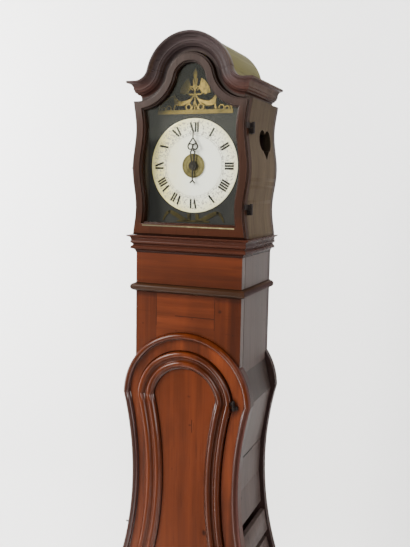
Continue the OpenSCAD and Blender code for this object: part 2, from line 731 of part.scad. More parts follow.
// Flat bars that carry the arbors, with the two brackets that hold the crown wheels' front pivots
module train_bars() color(iron) {
    z0 = cage_z + cage_plate_t;
    z1 = cage_top_z - cage_plate_t;
    difference() {
        union() {
            translate([-bar_left, y_bar, z0]) cube([bar_left + bar_right, bar_t, z1 - z0]);
            translate([-8, y_bar + bar_t, dial_z + 2]) cube([16, y_verge + 5 - y_bar - bar_t, 5]);
        }
        for (p = [third_at, inter_at, great_at]) rod_y(p, y_bar - 1, y_bar + bar_t + 1, arbor_r + run_gap);
        rod_y([0, dial_z], y_bar - 1, y_bar + bar_t + 1, 5 + run_gap);
        rod_z([0, y_verge], dial_z + 1, dial_z + 8, 2 + run_gap);
    }
    difference() {
        translate([-bar_left, y_rear_bar, z0]) cube([bar_left + bar_right, bar_t, z1 - z0]);
        for (p = [crown_at, third_at, inter_at, great_at])
            rod_y(p, y_rear_bar - 1, y_rear_bar + bar_t + 1, arbor_r + run_gap);
    }
    difference() {
        translate([alarm_at[0] - 12, y_rear_bar, z0]) cube([24, bar_t, z1 - z0]);
        rod_y(alarm_at, y_rear_bar - 1, y_rear_bar + bar_t + 1, arbor_r + run_gap);
    }
    difference() {
        translate([-7, y_crown + 18, crown_at[1] - 8]) cube([14, 6, z1 - crown_at[1] + 8]);
        rod_y(crown_at, y_crown + 17, y_crown + 25, arbor_r + run_gap);
    }
    difference() {
        translate([alarm_at[0] - 7, y_crown + 18, z0]) cube([14, 6, alarm_at[1] + 8 - z0]);
        rod_y(alarm_at, y_crown + 17, y_crown + 25, arbor_r + run_gap);
    }
}

// Post with the pin that the pendulum hangs on
module pendulum_cock() color(iron) {
    post = 8;
    translate([-post / 2, y_verge + 10, cage_top_z]) cube([post, post, pend_z - cage_top_z + 5]);
    translate([-post / 2, y_pend + 6, pend_z - 5]) cube([post, y_verge + 10 - y_pend - 6, 10]);
    rod_y([0, pend_z], y_pend - 5, y_pend + 6, 2);
    rod_y([0, pend_z], y_pend - 7, y_pend - 5, 4);
}

// Point of the bell's wall at an angle up its curve
function bell_wall(r, z, h, a) = [r * cos(a) * (1 - 0.06 * sin(2 * a)), z + h * sin(a)];

// Alarm bell, open below
module bell() color(brass) translate([bell_at[0], bell_at[1], bell_z]) rotate_extrude() polygon(concat(
    [[bell_r, 0]], [for (i = [0:10]) bell_wall(bell_r, 2, bell_h - 2, 9 * i)],
    [[0, bell_h - bell_t]], [for (i = [9:-1:0]) bell_wall(bell_r - bell_t, 0, bell_h - bell_t, 9 * i)]));

// Post under the bell
module bell_stand() color(iron) {
    rod_z(bell_at, cage_top_z, bell_z + bell_h - bell_t - 2 * lay_gap, 4);
    rod_z(bell_at, cage_top_z, cage_top_z + 4, 9);
}

// Iron plate behind the dial, with feet to the cage's front pillars
module dial_plate() color(iron) {
    hw = hood_in_hw - 7;
    z0 = seat_z + 12;
    z1 = dial_z + dial_d / 2 + 22;
    plate_t = 1.5;
    difference() {
        board(y_dial, plate_t) translate([-hw, z0]) square([2 * hw, z1 - z0]);
        rod_y([0, dial_z], y_dial - 1, y_dial + 4, 8);
    }
    both_sides() for (z = [cage_z + 30, cage_top_z - 30])
        rod_y([cage_hw - pillar_w / 2, z], y_dial + plate_t, y_bar - 4, 3);
}

// Domed enamel dial
module dial() color(enamel) translate([0, y_dial, dial_z]) rotate([90, 0, 0]) rotate_extrude($fn = 180)
    polygon(concat(
        [[8, 0], [8, 2.6]], [for (i = [1:6]) [8 + (dial_d / 2 - 10) * i / 6, 2.6 - 1.2 * pow(i / 6, 2)]],
        [[dial_d / 2, 0.8], [dial_d / 2, 0]]));

// Ring drawn flat, for scrolls
module ring(at, r, w) translate(at) difference() {
    circle(r);
    circle(r - w);
}

// Bar drawn flat between two points
module bar(p, q, w) translate(p) rotate(bearing(p, q)) translate([0, -w / 2]) square([norm(q - p), w]);

// Leaf drawn flat: two arcs that meet in points
module leaf(at, len, w, a) {
    r = (len * len / 4 + w * w / 4) / w;
    translate(at) rotate(a) intersection() {
        translate([len / 2, r - w / 2]) circle(r);
        translate([len / 2, w / 2 - r]) circle(r);
    }
}

// Strip drawn flat along an arc, tapering from one width to another
module ribbon(c, r, a0, a1, w0, w1) {
    n = 14;
    function edge(i, side) = let (u = i / n, a = a0 + (a1 - a0) * u)
        c + (r + side * (w0 + (w1 - w0) * u) / 2) * [cos(a), sin(a)];
    polygon(concat([for (i = [0:n]) edge(i, 1)], [for (i = [n:-1:0]) edge(i, -1)]));
}

// Pierced brass crest over the dial, on its band: stem with spear and prongs, scrolls, leaves and wings
module fronton() color(brass) {
    t = 1.5;
    k = dial_d / 240;
    band_h = 10 * k;
    z0 = dial_z + dial_d / 2 + 11;
    s = 2.6 * k;
    big_leaf = [[11, 55], [19, 43], [29, 38], [37, 42], [43, 43], [39, 56], [33, 66], [25, 74], [18, 79],
        [14, 67]];
    wing = [[5, 31], [19, 18], [32, 12], [45, 11], [56, 14], [59, 29], [58, 41], [53, 33], [47, 26], [39, 22],
        [27, 23], [17, 26]];
    board(y_dial - t, t) translate([0, z0]) {
        translate([-104 * k, 0]) square([208 * k, band_h]);
        translate([0, band_h - 0.5]) {
            translate([-s / 2, 0]) square([s, 80 * k]);
            translate([0, 57 * k]) circle(6 * k);
            leaf(k * [0, 74], 29 * k, 10 * k, 90);
            both_sides() {
                bar(k * [0, 41], k * [17, 15], 1.4 * s);
                bar(k * [0, 23], k * [10, -1], s);
                ring(k * [17, 7.5], 8.5 * k, s);
                bar(k * [0, 38], k * [12, 39], 1.3 * s);
                ribbon(k * [13, 46], 7.5 * k, -110, 165, 1.5 * s, 0.7 * s);
                bar(k * [3, 56], k * [5.5, 78], s);
                bar(k * [0, 57], k * [14, 58], 1.2 * s);
                polygon(k * big_leaf);
                polygon(k * wing);
                bar(k * [55, 16], k * [58, -1], 1.4 * s);
                ribbon(k * [56, -12], 46.5 * k, 10, 92, s, 1.3 * s);
                ring(k * [73, 5], 8 * k, s);
                ring(k * [88, 3], 6.5 * k, s);
            }
        }
    }
}

// Low brass ornament under the dial
module lower_ornament() color(brass) {
    t = 1.5;
    k = dial_d / 240;
    s = 2.6 * k;
    z0 = seat_z + bottom_rail_h + 2;
    board(y_dial - t, t) translate([0, z0]) {
        translate([-96 * k, 0]) square([192 * k, 2 * s]);
        both_sides() {
            bar(k * [0, 3], k * [14, 21], s);
            leaf(k * [10, 16], 40 * k, 9 * k, 14);
            leaf(k * [46, 26], 46 * k, 9 * k, -30);
            ring(k * [30, 10], 8 * k, s);
            ring(k * [70, 9], 7 * k, s);
        }
    }
}

// Rope lying over each sheave
module rope_wraps() color(hemp) {
    for (w = [[great_at, sheave_r], [alarm_at, alarm_sheave_r]])
        translate([w[0][0], y_rope, w[0][1]]) rotate([90, 0, 0])
            rotate_extrude(angle = 180, start = 0) translate([w[1], 0]) circle(rope_r);
}

// Straight strand of rope
module strand(x, z0, z1) color(hemp) rod_z([x, y_rope], z0, z1, rope_r);

// Moves along the trunk door's leaning hinge line
module on_hinge_line(p) translate([p[0], hinge_y, p[1]]) rotate([0, -hinge_lean, 0]) children();

// Lower halves of the trunk door's hinges, with their pins, on the front board
module trunk_hinge_posts() color(iron) for (p = [hinge_top, hinge_low]) on_hinge_line(p) {
    half = hinge_len / 2;
    translate([0, 0, -half]) cylinder(r = barrel_r, h = half - lay_gap);
    translate([0, 0, -half]) sphere(barrel_r);
    translate([0, 0, -half]) cylinder(r = hinge_pin_r, h = 2 * half - 3);
    translate([1, 0, -half]) cube([hinge_leaf, y_front - hinge_y, half - 1]);
}

// Upper halves of the trunk door's hinges
module trunk_door_hinges() color(iron) for (p = [hinge_top, hinge_low]) on_hinge_line(p) {
    half = hinge_len / 2;
    difference() {
        union() {
            translate([0, 0, lay_gap]) cylinder(r = barrel_r, h = half);
            translate([0, 0, half]) sphere(barrel_r);
            translate([-hinge_leaf, 0, 1]) cube([hinge_leaf, y_front - hinge_y, half - 1]);
        }
        translate([0, 0, -1]) cylinder(r = hinge_pin_r + run_gap, h = half - 1);
    }
}

// Room for the hinges in the door's moulding
module hinge_room() for (p = [hinge_top, hinge_low]) on_hinge_line(p)
    translate([-hinge_leaf - lay_gap, -big / 2, -hinge_len / 2])
        cube([3 * hinge_leaf, big, hinge_len + lay_gap]);

// Heart drawn in Y and Z: two round lobes and straight flanks to the tip
module heart(w) {
    r = w * 0.28;
    lobe = w / 2 - r;
    tip = w * 0.51;
    d = norm([lobe, tip]);
    a = atan2(tip, lobe) - acos(r / d);
    for (s = [-1, 1]) translate([s * lobe, 0]) circle(r);
    flank = [lobe + r * cos(a), -r * sin(a)];
    polygon([[0, -tip], flank, [lobe, 0], [-lobe, 0], [-flank[0], flank[1]]]);
}

// Wavy side board of the hood, pierced with a heart
module hood_side() {
    zs = [for (i = [0:wave_steps]) seat_z + (ear_z - seat_z) * i / wave_steps];
    difference() {
        union() {
            board(y_hood, y_back - hood_back_t - y_hood)
                polygon(concat([[hood_in_hw, seat_z]], [for (z = zs) [wave_x(z), z]], [[hood_in_hw, ear_z]]));
            board(y_arch + arch_board_t, y_back - hood_back_t - y_arch - arch_board_t)
                translate([hood_in_hw, ear_z - 1])
                    square([hood_top_hw - hood_in_hw, cornice_z - 3 - roof_t - ear_z + 1]);
        }
        side_board(hood_in_hw - 1, wave_hw - hood_in_hw + 2 * wave_amp)
            translate([(y_hood + y_back) / 2 + 20, seat_z + heart_rise]) heart(heart_w);
    }
}

module hood_side_left() color(grey_wood) mirror([1, 0, 0]) hood_side();

module hood_side_right() color(grey_wood) hood_side();

module hood_back() color(raw_wood) board(y_back - hood_back_t, hood_back_t) {
    wavy_shape(0, seat_z, ear_z);
    under_cornice(3 + roof_t, hood_top_hw, ear_z - 1);
}

// Arched front board over the hood door, which carries the cornice
module hood_arch_board() color(red_wood) board(y_arch, arch_board_t) difference() {
    under_cornice(3 + roof_t, hood_top_hw, ear_z - 5);
    under_cornice(door_drop - 2, hood_top_hw + 1, ear_z - 20);
}

// Thin bent board that roofs the hood
module hood_roof() color(raw_wood) board(y_arch, y_back - y_arch) {
    top = cornice_edge(3, hood_top_hw);
    under = cornice_edge(3 + roof_t - lay_gap / 2, hood_top_hw);
    last = len(top) - 1;
    polygon(concat(
        top, [for (i = [last - 1:-1:0]) [-top[i][0], top[i][1]]],
        [for (i = [0:last - 1]) [-under[i][0], under[i][1]]], [for (i = [last:-1:0]) under[i]]));
}

// Cornice over the front's arch and along both sides, in lengths with hairline joints
module hood_cornice() color(dark_wood) {
    out = cornice_proj;
    hair = lay_gap / 2 / (hood_arch_r - cornice_h) * 180 / PI;
    x0 = hollow_x + lay_gap;
    sweep(cornice_profile, hood_arch_r, -1, [0, cornice_z], touch_a + hair, 180 - touch_a - hair, y_arch);
    both_sides() {
        intersection() {
            sweep(cornice_profile, hood_fillet_r, 1, [hollow_x, hollow_z], 180 + touch_a, 270, y_arch);
            front_of_mitre();
        }
        intersection() {
            translate([x0, y_arch, cornice_z]) mirror([0, 1, 0]) rotate([90, 0, 90])
                linear_extrude(hood_top_hw + out) hung([for (p = cornice_profile) [p[1], p[0]]], 0);
            front_of_mitre();
        }
        intersection() {
            translate([hood_top_hw, y_back, cornice_z]) rotate([90, 0, 0])
                linear_extrude(y_back - y_arch + out) hung([for (p = cornice_profile) [p[1], p[0]]], 0);
            linear_extrude(big) polygon([[hood_top_hw - 1, y_back], [hood_top_hw - 1, y_arch + 1 + lay_gap],
                [hood_top_hw + out, y_arch - out + lay_gap], [hood_top_hw + out, y_back]]);
        }
    }
}

// Space of the cornice's front lengths, up to the mitre at the right corner
module front_of_mitre() linear_extrude(big) polygon([[0, y_arch + 1], [hood_top_hw - 1, y_arch + 1],
    [hood_top_hw + cornice_proj, y_arch - cornice_proj], [0, y_arch - cornice_proj - 1]]);

// Widest point of the side within the height of a hinge leaf
function leaf_x(z) = max([for (d = [-1, 0, 1]) wave_x(z + d * hood_leaf_h * 0.6)]) + 0.05;

// Fixed halves of the hood hinges: leaf with a three-lobed end, arm, barrel and pin
module hood_hinge_leaves() color(iron) for (z = hood_hinge_zs) {
    half = hood_leaf_h / 2;
    x = leaf_x(z);
    lobe = 4;
    side_board(x, hood_leaf_t) {
        translate([hood_hinge_y + 1, z - half]) square([12, half]);
        for (o = [[15, 0], [20, 0.8 * lobe], [20, -0.8 * lobe], [24, 0]])
            translate([hood_hinge_y + o[0], z - half / 2 + o[1]]) circle(lobe);
    }
    translate([x, hood_hinge_y + 0.8, z - half]) cube([hood_hinge_x - x, 3, half - lay_gap]);
    rod_z([hood_hinge_x, hood_hinge_y], z - half, z - lay_gap, hood_barrel_r);
    rod_z([hood_hinge_x, hood_hinge_y], z - half, z + half - 3, hood_pin_r);
}

// Moving halves of the hood hinges
module hood_door_hinges() color(iron) for (z = hood_hinge_zs) {
    half = hood_leaf_h / 2;
    x = leaf_x(z);
    difference() {
        union() {
            translate([x, y_door + 4, z + lay_gap])
                cube([hood_leaf_t, hood_hinge_y - 0.8 - y_door - 4, half - lay_gap]);
            translate([x, hood_hinge_y - 3.8, z + lay_gap]) cube([hood_hinge_x - x, 3, half - lay_gap]);
            rod_z([hood_hinge_x, hood_hinge_y], z + lay_gap, z + half + 2, hood_barrel_r);
        }
        rod_z([hood_hinge_x, hood_hinge_y], z - 1, z + half - 2, hood_pin_r + run_gap);
    }
}

// Frame of the hood door, stepped at its face and rebated behind for the glass
module hood_door_frame() color(red_wood) {
    face_t = 6;
    face_in = 4;
    rebate_t = 10;
    board(y_door, face_t) difference() {
        hood_door_shape(face_in);
        glass_shape(face_in);
    }
    board(y_door + face_t, door_t - face_t - rebate_t) difference() {
        hood_door_shape(0);
        glass_shape(0);
    }
    board(y_door + door_t - rebate_t, rebate_t) difference() {
        hood_door_shape(0);
        glass_shape(glass_seat);
    }
}

module hood_glass() color([0.8, 0.9, 0.85, 0.3])
    board(y_door + door_t - 10, glass_t) glass_shape(glass_seat - lay_gap);

// Wooden bead that holds the glass from behind
module glass_bead() color(dark_wood) board(y_door + door_t - 10 + glass_t, 5) difference() {
    glass_shape(glass_seat - lay_gap);
    glass_shape(0);
}

// Small iron pull on the hood door's free edge
module hood_door_pull() color(iron)
    translate([-wave_hw - wave_amp, y_door + door_t / 2, wave_z]) rotate([0, -90, 0]) {
        cylinder(r = 1.6, h = 3);
        translate([0, 0, 3]) sphere(2.4);
    }

// Frame of the trunk door, rebated behind for the panel
module trunk_door_frame() color(red_wood) door_place() {
    seat = 6;
    board(y_front, trunk_door_t - panel_t) difference() {
        trunk_shape(door_in, door_z);
        trunk_shape(door_in + trunk_stile, door_z + trunk_stile);
    }
    board(y_front + trunk_door_t - panel_t, panel_t) difference() {
        trunk_shape(door_in, door_z);
        trunk_shape(door_in + trunk_stile - seat, door_z + trunk_stile - seat);
    }
}

// Panel of the trunk door, raised to lie nearly level with the frame
module trunk_door_panel() color(red_wood) door_place() {
    seat = 6 - lay_gap;
    field_t = trunk_door_t - panel_t - panel_sink;
    y = y_front + trunk_door_t - panel_t;
    board(y, panel_t) trunk_shape(door_in + trunk_stile - seat, door_z + trunk_stile - seat);
    board(y - field_t, field_t)
        trunk_shape(door_in + trunk_stile + panel_margin, door_z + trunk_stile + panel_margin);
}

// Double-ridged moulding along the trunk door's edge, mitred at its lower corners and notched for the hinges
module trunk_door_moulding() color(dark_wood) {
    w = door_mould_w;
    profile = fit(door_profile, w, door_mould_t);
    x0 = trunk_x(door_z, door_in);
    x1 = trunk_x(door_z + w, door_in + w);
    difference() {
        door_place() outline_moulding(door_in, profile, y_front, door_z, w);
        hinge_room();
    }
    door_place() intersection() {
        translate([-x0, y_front, door_z]) rotate([90, 0, 90]) linear_extrude(2 * x0)
            polygon([for (p = profile) [-p[1], p[0]]]);
        board(y_front - 40, 80) polygon([
            [lay_gap - x0, door_z], [x0 - lay_gap, door_z],
            [x1 - lay_gap, door_z + w], [lay_gap - x1, door_z + w]
        ]);
    }
}

// Hour wheel with the arbor that carries the hand through the dial
module hour_wheel() color(brass) {
    wheel([0, dial_z], y_bar - 6, hour_n, bearing([0, dial_z], inter_at), 12);
    rod_y([0, dial_z], y_hand, y_bar + bar_t, 5);
}

// Single hour hand: forked stem, heart-shaped loop, point and fishtail
module hour_hand() color(iron) {
    t = 2;
    s = 3.2;
    loop_z = hand_len * 0.60;
    lobe = 8.5;
    board(y_hand - t, t) translate([0, dial_z]) {
        difference() {
            circle(10.5);
            circle(3);
        }
        both_sides() {
            bar([3, 8], [6, 36], s);
            bar([6, 35], [1, 41], s);
            ring([lobe - 2, loop_z - 5], lobe, s);
            bar([13.4, loop_z - 1.5], [0.8, loop_z + 16], s);
            bar([0, -37], [6.5, -44], s);
        }
        bar([0, loop_z + 14], [0, hand_len], s - 0.8);
        bar([0, -9], [0, -38], s);
    }
    rod_y([0, dial_z], y_hand - t - 1.5, y_hand, 4.5);
}

// Brass alarm disc that turns on the hour arbor
module alarm_disc() color(brass) difference() {
    union() {
        rod_y([0, dial_z], y_dial - 5, y_dial - 3.5, alarm_disc_d / 2);
        rod_y([0, dial_z], y_dial - 7, y_dial - 1, 7.5);
    }
    rod_y([0, dial_z], y_dial - 8, y_dial, 5 + run_gap);
}

// Great wheel on its arbor, with the click that catches the sheave's ratchet
module great_wheel() color(brass) {
    wheel(great_at, y_great, wheel_n, bearing(great_at, inter_at), 12);
    rod_y(great_at, y_bar, y_rear_bar + bar_t, arbor_r);
    translate([great_at[0], 0, great_at[1]]) {
        rod_y([31, 0], y_great - 7, y_great, 2.8);
        board(y_great - 7, 3) polygon([[33, -2], [34, 2], [30, 13], [27, 14], [26.4, 11]]);
    }
}

// Sheave of the going rope with its ratchet
module going_sheave() color(brass) {
    sheave(great_at, sheave_r);
    ratchet_n = 24;
    board(y_rope + 9, 3) translate(great_at) difference() {
        polygon([for (i = [0:ratchet_n - 1], q = [[22, 0], [25.5, 0.9]])
            q[0] * [cos(360 * (i + q[1]) / ratchet_n), sin(360 * (i + q[1]) / ratchet_n)]]);
        circle(arbor_r + run_gap);
    }
}

module intermediate_wheel() color(brass) {
    wheel(inter_at, y_inter, wheel_n, bearing(inter_at, third_at), 12);
    pinion(inter_at, y_great - 4, bearing(inter_at, great_at) + half_leaf);
    rod_y(inter_at, y_bar - 9, y_rear_bar + bar_t, arbor_r);
    board(y_bar - 9, 8) translate(inter_at)
        toothed(pinion_n, pinion_r + 0.7 * tooth_m, pinion_r - 1.3 * tooth_m, 0.07, 0.15, 0.18,
            bearing(inter_at, [0, dial_z]) + half_leaf);
}

module third_wheel() color(brass) {
    wheel(third_at, y_third, wheel_n, bearing(third_at, crown_at), 12);
    pinion(third_at, y_inter - 4, bearing(third_at, inter_at) + half_leaf);
    rod_y(third_at, y_bar, y_rear_bar + bar_t, arbor_r);
}

// Crown wheel of the verge escapement
module crown_wheel() color(brass) {
    crown_teeth(crown_at, y_verge + 5, crown_r, crown_n, 13);
    pinion(crown_at, y_third - 4, bearing(crown_at, third_at) + half_leaf);
    rod_y(crown_at, y_crown - 8, y_rear_bar + bar_t, arbor_r);
}

// Upright verge with two pallets, and the forked crutch that drives the pendulum
module verge() color(iron) {
    rod_z([0, y_verge], dial_z + 2, crutch_z + 4, 2);
    for (s = [-1, 1]) translate([0, y_verge, crown_at[1] + s * (crown_r - 1.2)]) rotate([0, 0, 45 * s])
        translate([-0.7, 0, -3]) cube([1.4, 5.2, 6]);
    translate([-2.5, y_pend + 4, crutch_z - 2]) cube([5, y_verge - y_pend - 4, 4]);
    both_sides() translate([3.4, y_pend - 4, crutch_z - 2]) cube([2, 12, 4]);
    translate([-5.4, y_pend + 5, crutch_z - 2]) cube([10.8, 3, 4]);
}

// Pendulum rod with its eye, and the stirrup that goes round the hour arbor
module pendulum_rod() color(iron) {
    stirrup_hw = 17;
    stirrup_h = 34;
    bob_z = pend_z - pendulum_len;
    board(y_pend - 2, 4) {
        translate([0, pend_z]) difference() {
            circle(6);
            circle(2 + run_gap);
        }
        translate([0, dial_z]) difference() {
            square([2 * stirrup_hw + 6, 2 * stirrup_h + 6], center = true);
            square([2 * stirrup_hw, 2 * stirrup_h], center = true);
        }
    }
    rod_z([0, y_pend], dial_z + stirrup_h, pend_z - 4, 2);
    rod_z([0, y_pend], bob_z - bob_d / 2 - 30, dial_z - stirrup_h, 2);
    rod_z([0, y_pend], bob_z - bob_d / 2 - 12, bob_z - bob_d / 2 - lay_gap, 7);
}

// Lens-shaped bob, resting on the rating nut
module pendulum_bob() color(brass) {
    r = (bob_d * bob_d / 4 + bob_t * bob_t / 4) / bob_t;
    difference() {
        translate([0, y_pend, pend_z - pendulum_len]) rotate([90, 0, 0]) rotate_extrude() intersection() {
            translate([0, bob_t / 2 - r]) circle(r, $fn = curve_fn);
            translate([0, r - bob_t / 2]) circle(r, $fn = curve_fn);
            translate([0, -bob_t]) square([bob_d / 2 - 1, 2 * bob_t]);
        }
        rod_z([0, y_pend], pend_z - pendulum_len - bob_d, pend_z - pendulum_len + bob_d, 2 + run_gap);
    }
}

// Turned weight with a hooked eye for the rope
module weight(x, z, d, len) {
    edge = 4;
    r = d / 2;
    translate([x, y_rope, z - len]) rotate_extrude()
        polygon([[0, 0], [r - edge, 0], [r, edge], [r, len - edge], [r - edge, len], [0, len]]);
    rod_z([x, y_rope], z, z + hook_h, rope_r + 1.5);
}

module going_weight() color(iron) weight(going_x, weight_z, weight_d, weight_len);

module going_rope() strand(going_x, weight_z + hook_h, great_at[1]);

module going_counterweight() color(iron) weight(going_tail_x, tail_z, tail_d, tail_len);

module going_tail_rope() strand(going_tail_x, tail_z + hook_h, great_at[1]);

// Alarm arbor with its sheave and its crown-toothed wheel
module alarm_wheel() color(brass) {
    crown_teeth(alarm_at, hammer_at[1] + 5, alarm_crown_r, 15, 11);
    rod_y(alarm_at, hammer_at[1] + 13, y_rear_bar + bar_t, arbor_r);
    translate([alarm_at[0], y_rope, alarm_at[1]]) rotate([90, 0, 0]) rotate_extrude() difference() {
        translate([arbor_r - 1, -9]) square([alarm_sheave_r + rope_r + 1.5 - arbor_r + 1, 18]);
        translate([alarm_sheave_r, 0]) circle(rope_r + lay_gap);
        translate([alarm_sheave_r, -rope_r - lay_gap]) square([rope_d, rope_d + 2 * lay_gap]);
    }
}

// Upright hammer arbor with two pallets at the alarm wheel and the hammer beside the bell
module alarm_hammer() color(iron) {
    z = bell_z + 6;
    rod_z(hammer_at, cage_z, z + 5, 2);
    for (s = [-1, 1]) translate([hammer_at[0], hammer_at[1], alarm_at[1] + s * (alarm_crown_r - 1.2)])
        rotate([0, 0, 45 * s]) translate([-0.7, 0, -3]) cube([1.4, 5.2, 6]);
    translate([hammer_at[0], hammer_at[1], z]) rotate([0, 0, bearing(hammer_at, bell_at) - hammer_swing]) {
        translate([0, -1.5, -1.5]) cube([hammer_arm, 3, 3]);
        translate([hammer_arm, 0, -6]) cylinder(r = hammer_r, h = 12);
    }
}

module alarm_weight() color(iron) weight(alarm_x, weight_z, alarm_weight_d, alarm_weight_len);

module alarm_rope() strand(alarm_x, weight_z + hook_h, alarm_at[1]);

module alarm_counterweight() color(iron) weight(alarm_tail_x, tail_z, tail_d, tail_len);

module alarm_tail_rope() strand(alarm_tail_x, tail_z + hook_h, alarm_at[1]);

plinth();
plinth_moulding();
trunk_front();
trunk_moulding();
trunk_side_left();
trunk_side_right();
case_back();
neck_front();
neck_sides();
mid_moulding();
hood_seat_moulding();
seat_board();
movement_cage();
train_bars();
pendulum_cock();
bell();
bell_stand();
dial_plate();
dial();
fronton();
lower_ornament();
rope_wraps();
trunk_hinge_posts();
hood_side_left();
hood_side_right();
hood_back();
hood_arch_board();
hood_roof();
hood_cornice();
hood_hinge_leaves();
hood_door_frame();
hood_glass();
glass_bead();
hood_door_hinges();
hood_door_pull();
trunk_door_frame();
trunk_door_panel();
trunk_door_moulding();
trunk_door_hinges();
hour_wheel();
hour_hand();
alarm_disc();
great_wheel();
going_sheave();
intermediate_wheel();
third_wheel();
crown_wheel();
verge();
pendulum_rod();
pendulum_bob();
going_weight();
going_rope();
going_counterweight();
going_tail_rope();
alarm_wheel();
alarm_hammer();
alarm_weight();
alarm_rope();
alarm_counterweight();
alarm_tail_rope();
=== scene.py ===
import math

import bpy
from mathutils import Matrix, Vector


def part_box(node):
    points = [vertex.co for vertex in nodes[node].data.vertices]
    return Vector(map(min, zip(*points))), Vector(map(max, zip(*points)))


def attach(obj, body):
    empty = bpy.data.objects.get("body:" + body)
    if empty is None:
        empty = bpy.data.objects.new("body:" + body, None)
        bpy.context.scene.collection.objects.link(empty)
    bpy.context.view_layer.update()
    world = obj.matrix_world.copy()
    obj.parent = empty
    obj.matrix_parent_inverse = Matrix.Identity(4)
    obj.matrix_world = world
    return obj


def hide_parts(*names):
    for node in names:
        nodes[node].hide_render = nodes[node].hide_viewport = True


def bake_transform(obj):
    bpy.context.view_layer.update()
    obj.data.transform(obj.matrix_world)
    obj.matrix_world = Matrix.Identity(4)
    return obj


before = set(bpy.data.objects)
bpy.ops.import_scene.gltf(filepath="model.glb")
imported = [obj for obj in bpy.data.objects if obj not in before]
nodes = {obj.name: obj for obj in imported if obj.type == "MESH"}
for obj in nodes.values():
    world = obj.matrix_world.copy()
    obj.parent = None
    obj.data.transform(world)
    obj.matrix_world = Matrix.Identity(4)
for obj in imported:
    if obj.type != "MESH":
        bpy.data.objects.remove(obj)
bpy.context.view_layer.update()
MM = 0.001

# Camera at the photograph's angle: turns in degrees, place and reach in metres, lens in millimetres
CAMERA_YAW, CAMERA_PITCH, CAMERA_ROLL = 22.2024, 7.3422, 1.0990
CAMERA_AT = (0.70393, -1.7130, 1.77257)
CAMERA_REACH = 50
CAMERA_LENS, CAMERA_SENSOR = 44.99, 36


def place_camera():
    yaw, pitch, roll = (math.radians(a) for a in (CAMERA_YAW, CAMERA_PITCH, CAMERA_ROLL))
    ahead = Vector((-math.sin(yaw) * math.cos(pitch), math.cos(yaw) * math.cos(pitch), -math.sin(pitch)))
    level = Vector((math.cos(yaw), math.sin(yaw), 0))
    upright = level.cross(ahead)
    right = math.cos(roll) * level + math.sin(roll) * upright
    up = -math.sin(roll) * level + math.cos(roll) * upright
    camera = bpy.data.cameras.new("camera")
    camera.lens = CAMERA_LENS
    camera.sensor_width = CAMERA_SENSOR
    camera.clip_end = CAMERA_REACH
    obj = bpy.data.objects.new("camera", camera)
    bpy.context.scene.collection.objects.link(obj)
    placing = Matrix((right, up, -ahead)).transposed().to_4x4()
    placing.translation = Vector(CAMERA_AT)
    obj.matrix_world = placing
    bpy.context.scene.camera = obj


def area(name, at, target, size, watts, color=(1, 1, 1)):
    """Rectangular light at a place, turned to a target, that the camera doesn't see."""
    light = bpy.data.lights.new(name, "AREA")
    light.shape = "RECTANGLE"
    light.size, light.size_y = size
    light.energy = watts
    light.color = color
    obj = bpy.data.objects.new(name, light)
    bpy.context.scene.collection.objects.link(obj)
    obj.location = at
    obj.visible_camera = False
    obj.rotation_euler = (Vector(target) - Vector(at)).to_track_quat("-Z", "Y").to_euler()


place_camera()

# Soft light from the left, a weaker one from the front, two that brighten the wall, one from above
# and three dim ones, a window and two low ones at the sides, that the varnish and the pane mirror
area("key", (-2.5, -2.2, 3.1), (0, 0, 1.6), (1.5, 1.8), 310, (1.0, 0.97, 0.93))
area("front", (1.5, -3.3, 2.4), (0, 0, 1.5), (1.8, 1.8), 112, (1.0, 0.98, 0.96))
area("wall_left", (-1.9, -0.3, 1.9), (-0.7, 0.85, 1.5), (0.8, 2.4), 65, (0.98, 0.99, 1.0))
area("wall_right", (1.9, -0.2, 1.9), (0.7, 0.85, 1.5), (0.8, 2.4), 44, (0.98, 0.99, 1.0))
area("top", (0.2, -0.2, 3.9), (0, 0.1, 2.0), (1.6, 1.6), 45)
area("window", (-1.5, -3.3, 2.65), (0, 0, 2.0), (1.6, 1.1), 2.7, (1.0, 1.0, 0.94))
area("side", (2.3, -0.9, 1.3), (0, -0.1, 1.2), (1.0, 2.2), 10, (0.97, 0.97, 1.0))
area("left_low", (-2.3, -0.45, 0.55), (0.1, -0.1, 1.1), (1.0, 0.8), 7, (1.0, 0.86, 0.84))

SKY_COLOR, SKY_STRENGTH = (0.95, 0.96, 1.0, 1), 0.22
world = bpy.data.worlds.new("studio")
bpy.context.scene.world = world
world.use_nodes = True
sky = world.node_tree.nodes["Background"]
sky.inputs["Color"].default_value = SKY_COLOR
sky.inputs["Strength"].default_value = SKY_STRENGTH


def link_mesh(name, verts, faces, smooth=False):
    me = bpy.data.meshes.new(name)
    me.from_pydata(verts, [], faces)
    me.update()
    if smooth:
        me.polygons.foreach_set("use_smooth", [True] * len(me.polygons))
    obj = bpy.data.objects.new(name, me)
    bpy.context.scene.collection.objects.link(obj)
    return obj


# Backdrop in metres: half its width, where it ends, and the bend from the floor to the wall
STAGE_HALF, STAGE_FRONT, STAGE_REAR, STAGE_TOP = 6.0, -6.0, 8.0, 5.0
BEND_START, BEND_R, BEND_STEPS = 0.35, 0.5, 12
REAR_SINK = 0.001


